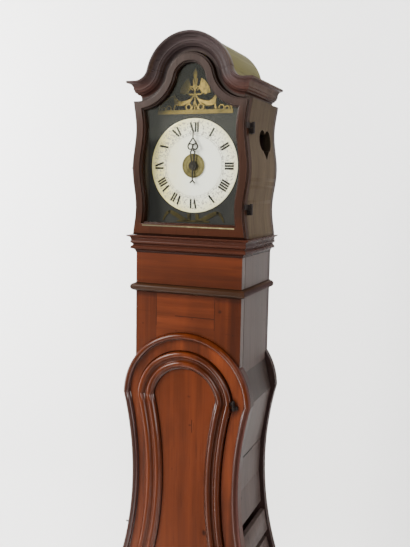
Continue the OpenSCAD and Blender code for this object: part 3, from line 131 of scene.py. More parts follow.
def backdrop():
    """Pale floor that curves up into a wall behind the clock, with more floor behind the wall."""
    profile = [(STAGE_FRONT, 0.0), (BEND_START, 0.0)]
    for i in range(1, BEND_STEPS + 1):
        a = math.radians(90 * i / BEND_STEPS)
        profile.append((BEND_START + BEND_R * math.sin(a), BEND_R - BEND_R * math.cos(a)))
    profile.append((BEND_START + BEND_R, STAGE_TOP))
    sides = (-STAGE_HALF, STAGE_HALF)
    verts = [(x, y, z) for y, z in profile for x in sides]
    faces = [(2 * i, 2 * i + 1, 2 * i + 3, 2 * i + 2) for i in range(len(profile) - 1)]
    n = len(verts)
    verts += [(x, y, -REAR_SINK) for y in (BEND_START, STAGE_REAR) for x in sides]
    faces.append((n, n + 1, n + 3, n + 2))
    return link_mesh("floor", verts, faces, True)


# Material building blocks
class Mat:
    """Small helper around a node material. Masks are values from 0 to 1."""

    def __init__(self, name):
        self.mat = bpy.data.materials.new(name)
        self.mat.use_nodes = True
        self.t = self.mat.node_tree
        self.bsdf = self.t.nodes["Principled BSDF"]
        place = self.t.nodes.new("ShaderNodeTexCoord")
        self.coord = place.outputs["Object"]
        self.normal = place.outputs["Normal"]

    def put(self, value, sock):
        """Links or sets a socket."""
        if isinstance(value, bpy.types.NodeSocket):
            self.t.links.new(value, sock)
        elif isinstance(value, tuple) and len(value) == 3 and sock.type == "RGBA":
            sock.default_value = (*value, 1)
        else:
            sock.default_value = value

    def node(self, kind, **sockets):
        n = self.t.nodes.new(kind)
        for key, value in sockets.items():
            self.put(value, n.inputs[key])
        return n

    def mapped(self, scale, offset=(0, 0, 0)):
        n = self.node("ShaderNodeMapping", Vector=self.coord, Scale=scale, Location=offset)
        return n.outputs["Vector"]

    def noise(self, cells, detail=4.0, rough=0.55, distort=0.0, offset=(0, 0, 0)):
        """Noise of so many cells per metre, one number or one for each axis."""
        scale = cells if isinstance(cells, (list, tuple)) else (cells, cells, cells)
        n = self.node("ShaderNodeTexNoise", Vector=self.mapped(scale, offset), Scale=1.0, Detail=detail,
                      Roughness=rough, Distortion=distort)
        return n.outputs["Fac"]

    def math(self, op, a, b=0.0, c=0.0, clamp=False):
        n = self.t.nodes.new("ShaderNodeMath")
        n.operation = op
        n.use_clamp = clamp
        for i, v in enumerate((a, b, c)):
            self.put(v, n.inputs[i])
        return n.outputs[0]

    def hypot(self, u, v):
        return self.math("SQRT", self.math("ADD", self.math("MULTIPLY", u, u), self.math("MULTIPLY", v, v)))

    def top(self, values):
        """Largest of several masks."""
        best = values[0]
        for v in values[1:]:
            best = self.math("MAXIMUM", best, v)
        return best

    def ramp(self, fac, stops):
        n = self.t.nodes.new("ShaderNodeValToRGB")
        elements = n.color_ramp.elements
        while len(elements) < len(stops):
            elements.new(0.5)
        for element, (place, color) in zip(elements, stops):
            element.position = place
            element.color = (*color, 1)
        self.put(fac, n.inputs["Fac"])
        return n.outputs["Color"]

    def grey(self, fac, p0, p1, v0=0.0, v1=1.0):
        """Value that runs from v0 at p0 to v1 at p1."""
        n = self.t.nodes.new("ShaderNodeMapRange")
        self.put(fac, n.inputs["Value"])
        for key, v in (("From Min", p0), ("From Max", p1), ("To Min", v0), ("To Max", v1)):
            n.inputs[key].default_value = v
        return n.outputs["Result"]

    def fade(self, place, span, strength=1.0):
        """Mask that rises from 0 to a strength over a span (from, to) in millimetres."""
        return self.grey(place, span[0] * MM, span[1] * MM, 0.0, strength)

    def mix(self, fac, a, b):
        n = self.t.nodes.new("ShaderNodeMix")
        n.data_type = "RGBA"
        for sock, v in ((n.inputs["Factor"], fac), (n.inputs[6], a), (n.inputs[7], b)):
            self.put(v, sock)
        return n.outputs[2]

    def corners(self, reach, strength):
        """Mask of painted shade in the corners and grooves, from ambient occlusion within a reach."""
        n = self.node("ShaderNodeAmbientOcclusion", Distance=reach)
        n.samples = 6
        return self.grey(n.outputs["AO"], 0.85, 0.35, 0.0, strength)

    def split(self, vector):
        n = self.node("ShaderNodeSeparateXYZ", Vector=vector)
        return n.outputs[0], n.outputs[1], n.outputs[2]

    def bump(self, height, strength, distance):
        n = self.node("ShaderNodeBump", Height=height, Strength=strength, Distance=distance)
        self.put(n.outputs["Normal"], self.bsdf.inputs["Normal"])

    def finish(self, color, rough, metal=0.0, **extra):
        for key, v in (("Base Color", color), ("Roughness", rough), ("Metallic", metal)):
            self.put(v, self.bsdf.inputs[key])
        for key, v in extra.items():
            self.put(v, self.bsdf.inputs[key.replace("_", " ")])
        return self.mat

    def surface(self, fac, first, second):
        """Mixes two shaders into the surface."""
        mixer = self.t.nodes.new("ShaderNodeMixShader")
        for sock, v in zip(mixer.inputs, (fac, first.outputs[0], second.outputs[0])):
            self.put(v, sock)
        self.put(mixer.outputs[0], self.t.nodes["Material Output"].inputs["Surface"])
        return self.mat


def scaled(color, k):
    return tuple(min(1.0, c * k) for c in color)


# Wood: noise cells per metre, across and along the grain, and for the blotches on each axis
FIBRE_CELLS, BAND_CELLS, PORE_CELLS = (70.0, 2.4), (13.0, 0.9), (240.0, 11.0)
BLOT_CELLS = (3.2, 3.2, 1.6)
# Shares of fibres, bands and blotches in the tone, and its stops as (place, change of brightness)
FIBRE_SHARE, BAND_SHARE, BLOT_SHARE = 0.42, 0.38, 0.20
TONE_STOPS = [(0.30, -0.50), (0.46, -0.14), (0.56, 0.16), (0.72, 0.55)]
TONE_LEVEL = 0.9
# What is left of the wood's colour in pores, blotches, hollows, corners and marks; in hollows and corners
# it is painted shade
PORE_DARK, BLOT_DARK, HOLLOW_SHADE_DARK, CORNER_SHADE_DARK, MARK_DARK = 0.30, 0.28, 0.18, 0.16, 0.10
CORNER_SHADE_REACH, CORNER_SHADE = 18 * MM, 0.55


def grain_cells(cells, axis_name):
    """Cells on each axis: many across the grain and few along it."""
    across, along = cells
    return [along if a == axis_name else across for a in "xyz"]


def wood(name, color, grain, gloss, coat, contrast, seed, dirt=0.35, blotch=0.42, marks=None, side=None,
         rear=None, hollow_shade=None, zones=(), right_coat=0.0, right_where=None, left_where=None, up_coat=0.35,
         down_coat=1.0, coat_rough=0.2, spec=0.03):
    """Waxed wood with fibres along the grain axis, broad bands, blotches, pores, dirt and painted shade.
    marks(m) returns a mask of dark lines and spots, side and rear are the colours of faces that look
    sideways and backward, on some woods a painted shade, hollow_shade(m) a mask of hollows that get
    painted shade, zones a list of (mask, colour, grain) for boards and parts of another tone, some of them
    painted shade and some painted sheen. The wax (coat) is worn to a share up_coat on faces that look up
    and down_coat on those that look down. Faces that look right have right_coat, within the mask
    right_where(m) if there is one, and those that look left are fully waxed within left_where(m). Corners
    and grooves get painted shade from an ambient occlusion mask."""
    m = Mat(name)
    off = (seed, seed * 1.7, seed * 0.6)
    blot = m.noise(BLOT_CELLS, 4, 0.6, 0.3, off)

    def fibres(axis_name):
        fibre = m.noise(grain_cells(FIBRE_CELLS, axis_name), 5, 0.6, 0.4, off)
        bands = m.noise(grain_cells(BAND_CELLS, axis_name), 3, 0.5, 0.9, off)
        pores = m.noise(grain_cells(PORE_CELLS, axis_name), 2, 0.5, 0.0, off)
        broad = m.math("MULTIPLY_ADD", bands, BAND_SHARE, m.math("MULTIPLY", blot, BLOT_SHARE))
        return fibre, m.math("MULTIPLY_ADD", fibre, FIBRE_SHARE, broad), pores

    grains = sorted({grain} | {zone_grain for _, _, zone_grain in zones})
    sets = {axis_name: fibres(axis_name) for axis_name in grains}
    fibre, _, pores = sets[grain]

    def tone(c, axis_name=grain):
        level = scaled(c, TONE_LEVEL)
        stops = [(place, scaled(level, 1 + change * contrast)) for place, change in TONE_STOPS]
        return m.ramp(sets[axis_name][1], stops)

    base = tone(color)
    for mask, other, zone_grain in zones:
        base = m.mix(mask(m), base, tone(other, zone_grain))
    nx, ny, nz = m.split(m.normal)
    if side:
        base = m.mix(m.grey(m.math("ABSOLUTE", nx), 0.55, 0.85), base, tone(side))
    if rear:
        base = m.mix(m.grey(ny, 0.55, 0.85), base, tone(rear))
    base = m.mix(m.grey(pores, 0.60, 0.74, 0.0, 0.5), base, scaled(color, PORE_DARK))
    base = m.mix(m.grey(blot, blotch, blotch - 0.12, 0.0, dirt), base, scaled(color, BLOT_DARK))
    # Painted shade in the hollows of mouldings, on the hearts' sawn edges and on the top of the hood's
    # lower rail
    if hollow_shade:
        base = m.mix(hollow_shade(m), base, scaled(color, HOLLOW_SHADE_DARK))
    # Painted shade in corners and grooves, from ambient occlusion
    base = m.mix(m.corners(CORNER_SHADE_REACH, CORNER_SHADE), base, scaled(color, CORNER_SHADE_DARK))
    if marks:
        base = m.mix(marks(m), base, scaled(color, MARK_DARK))
    rough = m.math("MULTIPLY_ADD", blot, 0.22, m.math("MULTIPLY_ADD", fibre, 0.10, gloss - 0.16))
    m.bump(m.math("MULTIPLY_ADD", pores, -0.5, fibre), 0.22, 0.5 * MM)
    kept = m.math("MULTIPLY", right_where(m), right_coat) if right_where else right_coat
    right = m.grey(nx, 0.15, 0.5)
    wax = m.math("MULTIPLY_ADD", right, m.math("SUBTRACT", kept, coat), coat)
    if left_where:
        wax = m.math("MAXIMUM", wax, m.math("MULTIPLY", left_where(m), m.grey(nx, -0.15, -0.4)))
    wax = m.math("MULTIPLY", wax, m.grey(nz, 0.2, 0.7, 1.0, up_coat))
    wax = m.math("MULTIPLY", wax, m.grey(nz, -0.15, -0.6, 1.0, down_coat))
    return m.finish(base, rough, 0.0, Coat_Weight=wax, Coat_Roughness=coat_rough, Specular_IOR_Level=spec)


def metal(name, color, rough, tarnish, seed=0.0):
    """Aged metal with tarnish in its darker patches."""
    m = Mat(name)
    patches = m.noise(60, 5, 0.6, offset=(seed, seed, seed))
    base = m.ramp(patches, [(0.32, tarnish), (0.50, color), (0.70, scaled(color, 1.25))])
    m.bump(m.noise(420, 3, 0.5), 0.15, 0.2 * MM)
    return m.finish(base, m.math("MULTIPLY_ADD", patches, 0.25, rough - 0.12), 1.0)


def simple(name, cells, low, high, rough, spec=0.5):
    """Two tones mixed by a fine noise."""
    m = Mat(name)
    n = m.noise(cells, 4, 0.6)
    m.bump(n, 0.15, 0.3 * MM)
    return m.finish(m.ramp(n, [(0.32, low), (0.70, high)]), rough, Specular_IOR_Level=spec)


# Masks, as functions that add one to a material. Axes are 0, 1 and 2 for x, y and z
def marked(lines=(), spots=()):
    """Mask of thin dark lines (axis, place, half width, other axis, from, to, strength) and of oval
    spots (axis, axis, place, place, radius, radius, strength), all in millimetres."""

    def build(m):
        axes = m.split(m.coord)
        wave = m.math("MULTIPLY", m.math("SUBTRACT", m.noise(30, 3), 0.5), 3 * MM)
        masks = []
        for axis, place, half, other, start, end, strength in lines:
            gap = m.math("ABSOLUTE", m.math("SUBTRACT", m.math("ADD", axes[axis], wave), place * MM))
            near = m.fade(gap, (1.4 * half, 0.6 * half), strength)
            after = m.math("GREATER_THAN", axes[other], start * MM)
            before = m.math("LESS_THAN", axes[other], end * MM)
            masks.append(m.math("MULTIPLY", near, m.math("MULTIPLY", after, before)))
        for axis, other, p, q, radius_p, radius_q, strength in spots:
            u = m.math("DIVIDE", m.math("SUBTRACT", m.math("ADD", axes[axis], wave), p * MM), radius_p * MM)
            v = m.math("DIVIDE", m.math("SUBTRACT", axes[other], q * MM), radius_q * MM)
            masks.append(m.grey(m.hypot(u, v), 1.2, 0.5, 0.0, strength))
        return m.top(masks)

    return build


def zone(axis, start, end, below=None):
    """Mask that rises from 0 at start to 1 at end along an axis, kept below a height, in millimetres."""

    def build(m):
        axes = m.split(m.coord)
        mask = m.fade(axes[axis], (start, end))
        if below is None:
            return mask
        return m.math("MULTIPLY", mask, m.math("LESS_THAN", axes[2], below * MM))

    return build


def both(a, b):
    """Mask of the places that two masks share."""
    return lambda m: m.math("MULTIPLY", a(m), b(m))


def deep(node, share, strength):
    """Mask of painted shade in the hollows of a moulding that lies on a front: the part of its depth
    nearest the board.
    """
    lo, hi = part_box(node)

    def build(m):
        y = m.split(m.coord)[1]
        return m.grey(y, hi[1] - (hi[1] - lo[1]) * share, hi[1], 0.0, strength)

    return build


def inward(node, share, strength):
    """Mask of painted shade in the hollows of a moulding that runs round the neck: the part nearest the
    boards.
    """
    core_lo, core_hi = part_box("neck_front")
    depth = (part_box(node)[1][0] - core_hi[0]) * share

    def build(m):
        x, y, _ = m.split(m.coord)
        out_x = m.math("SUBTRACT", m.math("ABSOLUTE", x), core_hi[0])
        out_y = m.math("SUBTRACT", core_lo[1], y)
        return m.grey(m.math("MAXIMUM", out_x, out_y), depth, 0.0, 0.0, strength)

    return build


LEDGE_BELOW = 1720 * MM
HEART_MARGIN = 15 * MM


def ledge(m):
    """Mask of the shaded top of the hood door's lower rail."""
    low = m.math("LESS_THAN", m.split(m.coord)[2], LEDGE_BELOW)
    return m.math("MULTIPLY", m.grey(m.split(m.normal)[2], 0.4, 0.8, 0.0, 0.9), low)


def heart_edge(m):
    """Mask of painted shade on the sawn edges of the pierced hearts, away from the ends of the hood sides.
    """
    lo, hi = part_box("hood_side_right")
    reach = (hi[1] - lo[1]) / 2 - HEART_MARGIN
    offset = m.math("SUBTRACT", m.split(m.coord)[1], (lo[1] + hi[1]) / 2)
    away = m.math("LESS_THAN", m.math("ABSOLUTE", offset), reach)
    sawn = m.grey(m.math("ABSOLUTE", m.split(m.normal)[0]), 0.6, 0.3, 0.0, 0.95)
    return m.math("MULTIPLY", sawn, away)


# Marks on the boards: joints and cracks as lines, nail heads, knots and stains as spots. On the neck, two
# wide lines, one under the mid moulding and one at the neck's top under the hood, are painted shadow
neck_marks = marked(
    lines=[(0, -87.5, 0.9, 2, 1402, 1492, 0.75), (0, 77.0, 0.9, 2, 1402, 1492, 0.75),
           (2, 1432.0, 0.9, 0, -34, 77, 0.95), (2, 1436.0, 0.6, 0, -87, -34, 0.35),
           # Painted shadow: wide soft bands under the mid moulding and under the hood
           (2, 1491.0, 12.0, 0, -150, 150, 0.55), (2, 1632.0, 8.0, 0, -150, 150, 0.30)],
    spots=[(0, 2, 92, 1453, 5, 5, 0.7), (0, 2, 15, 1428, 2, 2, 0.7), (0, 2, -30, 1392, 2.5, 2, 0.6),
           (0, 2, -128, 1404, 2.5, 2.5, 0.6), (0, 2, 128, 1395, 2.5, 2.5, 0.6)])
panel_marks = marked(
    lines=[(0, 17.5, 1.1, 2, 1120, 1156, 0.85), (0, 23.0, 0.6, 2, 1128, 1148, 0.5)],
    spots=[(0, 2, 59, 847, 7, 9, 0.8), (0, 2, 8, 1218, 5, 3, 0.5), (0, 2, -38, 1010, 2, 3, 0.4),
           (0, 2, 12, 1140, 4, 3, 0.6)])
side_marks = marked(
    spots=[(1, 2, 66, 1449, 3, 3, 0.6), (1, 2, 32, 1440, 2.5, 2.5, 0.6), (1, 2, 89, 1403, 4, 3, 0.6),
           (1, 2, 3, 1563, 3, 4, 0.4), (1, 2, 60, 1350, 3, 3, 0.5)])
plank_marks = marked(
    lines=[(2, 1051.2, 3.4, 1, -90, 30, 0.98)],
    spots=[(1, 2, 4, 968, 3, 4, 0.5), (1, 2, -52, 937, 6, 5, 0.6), (1, 2, -52, 1047, 3, 6, 0.6),
           (1, 2, 86, 1030, 3, 3, 0.6), (1, 2, 90, 885, 3, 3, 0.6), (1, 2, -60, 880, 3, 3, 0.6),
           (1, 2, -60, 1190, 4, 3, 0.6), (1, 2, 88, 1185, 3, 3, 0.6)])
nail_marks = marked(
    spots=[(1, 2, 61, 2020, 2.5, 2.5, 0.8), (1, 2, -40, 2012, 2.5, 2.5, 0.8), (1, 2, 28, 1996, 2, 2, 0.6)])

# Dark patch on the front board round the upper hinge, set from the hinge posts
HINGE_LO, HINGE_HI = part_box("trunk_hinge_posts")
HINGE_PATCH_X = HINGE_LO[0] / MM + 4
HINGE_PATCH_Z = HINGE_HI[2] / MM - 14
front_marks = marked(spots=[(0, 2, HINGE_PATCH_X, HINGE_PATCH_Z, 15, 26, 0.6)])

DIAL_LO, DIAL_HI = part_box("dial")
DIAL_X = (DIAL_LO[0] + DIAL_HI[0]) / 2
DIAL_Z = (DIAL_LO[2] + DIAL_HI[2]) / 2
DIAL_R = (DIAL_HI[2] - DIAL_LO[2]) / 2
DIAL_Y = DIAL_HI[1]


def from_dial(m):
    """Distances from the dial's centre: to the right, and along the radius."""
    x, _, z = m.split(m.coord)
    dx = m.math("SUBTRACT", x, DIAL_X)
    return dx, m.hypot(dx, m.math("SUBTRACT", z, DIAL_Z))


# Spans on the crest, in millimetres: heights of its band, leaves and tip, places of its left end and fan
CREST_BAND, CREST_LEAVES, CREST_TIP = (1967, 1963), (1990, 1993), (2020, 2050)
CREST_LEFT, CREST_FAN = (-30, -95), (-10, -16)
# Turned rings of the alarm disc in millimetres: radius, half width and strength
DISC_RINGS = [(10, 4.5, 0.75), (19, 1.2, 0.5), (27.5, 1.5, 0.5)]
# Share of the pane's surface that mirrors
PANE_SHINE = 0.045
# Span of the gilt strip, in millimetres, over which it darkens toward the left
GILT_DARKENING = (80, -40)


def crest_material():
    """Gilt brass with painted shade toward its left end and on its left fan, darker on its band, at its tip
    and in veins on its leaves.
    """
    m = Mat("crest_brass")
    x, _, z = m.split(m.coord)
    n = m.noise(55, 5, 0.6)
    base = m.ramp(n, [(0.32, (0.10, 0.074, 0.024)), (0.50, (0.27, 0.185, 0.045)),
                      (0.70, (0.36, 0.25, 0.062))])
    leaves = m.fade(z, CREST_LEAVES)
    fan = m.math("MULTIPLY", leaves, m.fade(x, CREST_FAN, 0.85))
    veins = m.math("MULTIPLY", leaves, m.grey(m.noise((170, 170, 90), 2), 0.46, 0.60, 0.65, 0.0))
    # Painted shade toward the left end and on the left fan; darker too on the band, at the tip and in the
    # veins of the leaves
    darkened = [m.fade(x, CREST_LEFT, 0.85), m.fade(z, CREST_BAND, 0.6), fan, m.fade(z, CREST_TIP, 0.7), veins]
    base = m.mix(m.top(darkened), base, (0.070, 0.055, 0.020))
    m.bump(n, 0.3, 0.6 * MM)
    return m.finish(base, m.math("MULTIPLY_ADD", n, 0.25, 0.36), 1.0)


def disc_material():
    """Dull brass with turned rings."""
    m = Mat("brass_disc")
    _, r = from_dial(m)
    n = m.noise(60, 5, 0.6, offset=(2.4, 2.4, 2.4))
    base = m.ramp(n, [(0.32, (0.082, 0.068, 0.028)), (0.50, (0.148, 0.124, 0.050)),
                      (0.70, (0.19, 0.157, 0.062))])
    rings = []
    for place, half, strength in DISC_RINGS:
        gap = m.math("ABSOLUTE", m.math("SUBTRACT", r, place * MM))
        rings.append(m.fade(gap, (half, 0.4 * half), strength))
    base = m.mix(m.top(rings), base, (0.030, 0.024, 0.010))
    m.bump(n, 0.15, 0.2 * MM)
    return m.finish(base, m.math("MULTIPLY_ADD", n, 0.25, 0.38), 1.0)


def plate_material():
    """Dark paint on iron."""
    m = Mat("dial_plate_paint")
    n = m.noise(18, 5, 0.6)
    base = m.ramp(n, [(0.32, (0.006, 0.0054, 0.0052)), (0.52, (0.011, 0.0100, 0.0092)),
                      (0.72, (0.019, 0.0175, 0.0135))])
    m.bump(m.noise(300, 2), 0.1, 0.2 * MM)
    return m.finish(base, m.math("MULTIPLY_ADD", n, 0.2, 0.45), Specular_IOR_Level=0.2)


def enamel_material():
    """White enamel, tinted yellow toward its rim and toward its left, with specks in the ring of numerals.
    """
    m = Mat("enamel")
    dx, r = from_dial(m)
    n = m.noise(26, 5, 0.6)
    edge = m.grey(r, DIAL_R * 0.60, DIAL_R, 0.0, 0.65)
    left = m.grey(dx, 0.0, -DIAL_R, 0.0, 0.95)
    tint = m.math("MULTIPLY", m.math("ADD", edge, left), m.grey(n, 0.3, 0.7, 0.55, 1.25), clamp=True)
    base = m.mix(tint, (0.985, 0.98, 0.92), (0.90, 0.79, 0.36))
    specks = m.grey(m.noise(210, 3, 0.6), 0.53, 0.61, 0.0, 0.9)
    outside = m.grey(r, DIAL_R * 0.60, DIAL_R * 0.68)
    inside = m.grey(r, DIAL_R * 0.99, DIAL_R * 0.94)
    base = m.mix(m.math("MULTIPLY", specks, m.math("MULTIPLY", outside, inside)), base, (0.36, 0.32, 0.29))
    m.bump(n, 0.05, 0.4 * MM)
    return m.finish(base, m.math("MULTIPLY_ADD", n, 0.1, 0.16), Coat_Weight=0.3, Coat_Roughness=0.1)


def glass_material():
    """Clear pane with a faint mirror."""
    m = Mat("pane")
    clear = m.node("ShaderNodeBsdfTransparent", Color=(0.965, 0.975, 0.955))
    tint = m.ramp(m.noise(5, 2), [(0.3, (0.85, 0.88, 0.78)), (0.7, (1, 1, 0.94))])
    mirror = m.node("ShaderNodeBsdfGlossy", Color=tint, Roughness=0.06)
    return m.surface(PANE_SHINE, clear, mirror)


def rope_material():
    """Twisted hemp."""
    m = Mat("hemp")
    twist = m.node("ShaderNodeTexWave", Vector=m.mapped((160, 160, 90)), Scale=1.0, Distortion=1.5)
    base = m.ramp(twist.outputs["Fac"], [(0.1, (0.10, 0.070, 0.036)), (0.6, (0.24, 0.175, 0.095))])
    fuzz = m.grey(m.noise((400, 400, 60), 3), 0.35, 0.7, 0.0, 0.4)
    base = m.mix(fuzz, base, (0.14, 0.10, 0.055))
    m.bump(twist.outputs["Fac"], 0.6, 0.6 * MM)
    return m.finish(base, 0.85)


def gilt_material():
    """Gilt strip that is darker toward its left end."""
    m = Mat("gilt_line")
    n = m.noise(60, 4, 0.6)
    base = m.ramp(n, [(0.32, (0.10, 0.085, 0.036)), (0.70, (0.32, 0.28, 0.13))])
    base = m.mix(m.fade(m.split(m.coord)[0], GILT_DARKENING, 0.75), base, (0.045, 0.036, 0.020))
    return m.finish(base, m.math("MULTIPLY_ADD", n, 0.2, 0.36), 0.5)


def floor_material():
    """Pale near the clock, on the wall and at the left, grey far in front, where the varnish mirrors it.
    It is clear from its back, so that the wall doesn't hide the clock from behind."""
    m = Mat("pale_floor")
    base = m.ramp(m.noise(1.2, 3), [(0.3, (0.87, 0.87, 0.87)), (0.7, (0.90, 0.90, 0.89))])
    x, y, _ = m.split(m.coord)
    dim = m.math("MULTIPLY", m.grey(y, -0.7, -1.5), m.grey(x, -1.6, -0.6))
    m.finish(m.mix(dim, base, (0.16, 0.16, 0.16)), 0.8)
    behind = m.node("ShaderNodeNewGeometry").outputs["Backfacing"]
    return m.surface(behind, m.bsdf, m.node("ShaderNodeBsdfTransparent"))


# Wood colours: varnished front, dark hood, sides, bare boards and shaded edges, the last a painted shade
# for sideways edges and inner faces
RED = (0.085, 0.0182, 0.0048)
DEEP = (0.028, 0.0118, 0.0070)
# Side boards: the wood's own colour, greyed by a painted sheen of the pale room
SIDE = (0.040, 0.028, 0.0245)
RAW = (0.200, 0.170, 0.075)
DUSK = (0.020, 0.010, 0.009)
# The trunk's upper part, where slopes of the mouldings that look left are waxed
UPPER = zone(2, 960, 1130)

MATS = {
    # Painted shade on the front boards' sideways edges
    "front": wood("wood_front", scaled(RED, 1.32), "z", gloss=0.36, coat=0.4, contrast=1.6, seed=1.3,
                  dirt=0.75, blotch=0.52, marks=front_marks, side=scaled(DUSK, 0.8), rear=RAW,
                  coat_rough=0.3),
    "neck": wood("wood_neck", RED, "x", gloss=0.36, coat=0.45, contrast=1.25, seed=7.1, marks=neck_marks,
                 side=SIDE, rear=RAW, coat_rough=0.3,
                 zones=[(zone(0, 76.5, 77.5, below=1497), scaled(RED, 0.85), "z"),
                        (zone(0, -87, -88, below=1497), scaled(RED, 0.72), "z"),
                        (zone(2, 1500, 1502), scaled(RED, 0.75), "x")]),
    "panel": wood("wood_panel", RED, "z", gloss=0.36, coat=0.26, contrast=1.0, seed=4.2,
                  marks=panel_marks, rear=RAW, coat_rough=0.3),
    # Painted shade and sheen: lilac-grey sideways faces, and darker, purple straight runs below the arch
    "edge": wood("wood_edge_moulding", scaled(RED, 0.72), "z", gloss=0.24, coat=0.38, contrast=0.9,
                 seed=2.7, right_coat=1.0, up_coat=0.0, side=(0.060, 0.0255, 0.0215),
                 left_where=both(zone(0, 40, 80), UPPER), right_where=zone(0, 60, -60), spec=0.004,
                 zones=[(zone(2, 1240, 1195), (0.038, 0.0145, 0.0105), "z")],
                 hollow_shade=deep("trunk_moulding", 0.30, 0.7), coat_rough=0.15),
    # Painted shade: the right half of the door moulding is darker
    "mould": wood("wood_door_moulding", scaled(RED, 0.95), "z", gloss=0.26, coat=0.5, contrast=1.0,
                  seed=2.7, right_coat=0.5, up_coat=0.3, left_where=both(zone(0, 20, 50), UPPER), spec=0.01,
                  zones=[(zone(0, 0, 60), scaled(RED, 0.5), "z")],
                  hollow_shade=deep("trunk_door_moulding", 0.42, 0.8), coat_rough=0.15),
    # Painted shade on the mid moulding's sideways faces
    "mid": wood("wood_mid_moulding", (0.028, 0.0120, 0.0055), "x", gloss=0.34, coat=0.33, contrast=0.6,
                seed=5.5, side=DUSK, coat_rough=0.28, spec=0.002, hollow_shade=inward("mid_moulding", 0.4, 0.7)),
    # Painted shade on the seat moulding's sideways faces
    "seat": wood("wood_seat_moulding", (0.044, 0.0140, 0.0080), "x", gloss=0.30, coat=0.5, contrast=0.6,
                 seed=6.5, side=DUSK, coat_rough=0.24, hollow_shade=inward("hood_seat_moulding", 0.5, 0.85),
                 spec=0.006, down_coat=0.1),
    # Painted shade on the plinth moulding's sideways faces
    "base": wood("wood_plinth_moulding", scaled(RED, 0.75), "x", gloss=0.30, coat=0.6, contrast=0.6,
                 seed=8.5, side=DUSK),
    # Painted shade on the sideways and back faces and on the lower rail's top; painted sheen: the upper
    # part is greyer
    "hood": wood("wood_hood", DEEP, "z", gloss=0.32, coat=0.5, contrast=0.8, seed=3.3,
                 side=scaled(DEEP, 0.8), hollow_shade=ledge, rear=scaled(DUSK, 0.8), coat_rough=0.24, spec=0.004,
                 zones=[(zone(2, 1700, 1655), (0.050, 0.0150, 0.0065), "x"),
                        (zone(2, 1930, 1990), (0.036, 0.0240, 0.0200), "z")]),
    # Painted sheen: the cornice is greyer than its wood; its sideways faces and its lower part keep a
    # browner, redder tone
    "cornice": wood("wood_cornice", (0.036, 0.0245, 0.0240), "x", gloss=0.34, coat=0.22, contrast=0.8,
                    seed=6.2, marks=nail_marks, side=(0.042, 0.0260, 0.0190),
                    hollow_shade=deep("hood_cornice", 0.25, 0.6), coat_rough=0.42, spec=0.004,
                    zones=[(zone(2, 2045, 2010), (0.050, 0.0215, 0.0165), "x")]),
    "side": wood("wood_side", SIDE, "z", gloss=0.44, coat=0.0, contrast=0.9, seed=8.4, marks=side_marks),
    # Painted shade: the shoulder plank above the waist is darker
    "planks": wood("wood_side_planks", SIDE, "z", gloss=0.44, coat=0.0, contrast=0.9, seed=9.9,
                   marks=plank_marks, zones=[(zone(2, 1206, 1208), scaled(SIDE, 0.6), "z")]),
    # Painted shadow under the cornice: the upper part is darker; the base colour also holds a painted sheen
    "hood_side": wood("wood_hood_side", (0.049, 0.0355, 0.0235), "z", gloss=0.5, coat=0.0, contrast=0.8,
                      seed=5.9, spec=0.003, hollow_shade=heart_edge,
                      zones=[(zone(2, 1830, 1990), (0.037, 0.0275, 0.0185), "z")]),
    "raw": wood("wood_raw", (0.070, 0.060, 0.018), "y", gloss=0.62, coat=0.0, contrast=0.8, seed=2.2,
                dirt=0.5),
    # Painted shade on the back boards' inner faces and edges; their rear stays raw
    "back": wood("wood_back", DUSK, "z", gloss=0.5, coat=0.3, contrast=0.9, seed=3.9, dirt=0.5,
                 rear=scaled(RAW, 0.8), coat_rough=0.35),
    "raw_z": wood("wood_raw_back", scaled(RAW, 0.8), "z", gloss=0.66, coat=0.0, contrast=0.9, seed=3.9,
                  dirt=0.5),
    "iron": metal("iron", (0.075, 0.070, 0.064), 0.55, (0.030, 0.026, 0.022)),
    "cast": metal("cast_iron", (0.060, 0.058, 0.056), 0.62, (0.028, 0.025, 0.022), 2.0),
    "hand": metal("hand_iron", (0.030, 0.027, 0.024), 0.6, (0.014, 0.012, 0.010), 5.0),
    "brass": metal("brass", (0.32, 0.24, 0.075), 0.48, (0.10, 0.075, 0.026), 1.0),
    # Painted shade: a darker copy of the brass, for the ornament under the dial
    "dim": metal("brass_shaded", (0.044, 0.034, 0.012), 0.55, (0.014, 0.011, 0.006), 3.1),
    "brass_bright": metal("brass_movement", (0.56, 0.42, 0.17), 0.36, (0.28, 0.19, 0.08), 4.0),
    "hinge": simple("hinge_iron", 220, (0.006, 0.005, 0.005), (0.024, 0.019, 0.017), 0.6, spec=0.04),
    "ink": simple("numeral_black", 260, (0.004, 0.004, 0.004), (0.016, 0.014, 0.012), 0.5, spec=0.2),
    "faint": simple("numeral_faint", 240, (0.10, 0.09, 0.08), (0.62, 0.58, 0.50), 0.45),
    "plate": plate_material(),
    "crest": crest_material(),
    "disc": disc_material(),
    "enamel": enamel_material(),
    "glass": glass_material(),
    "rope": rope_material(),
    "gilt": gilt_material(),
    "floor": floor_material(),
}

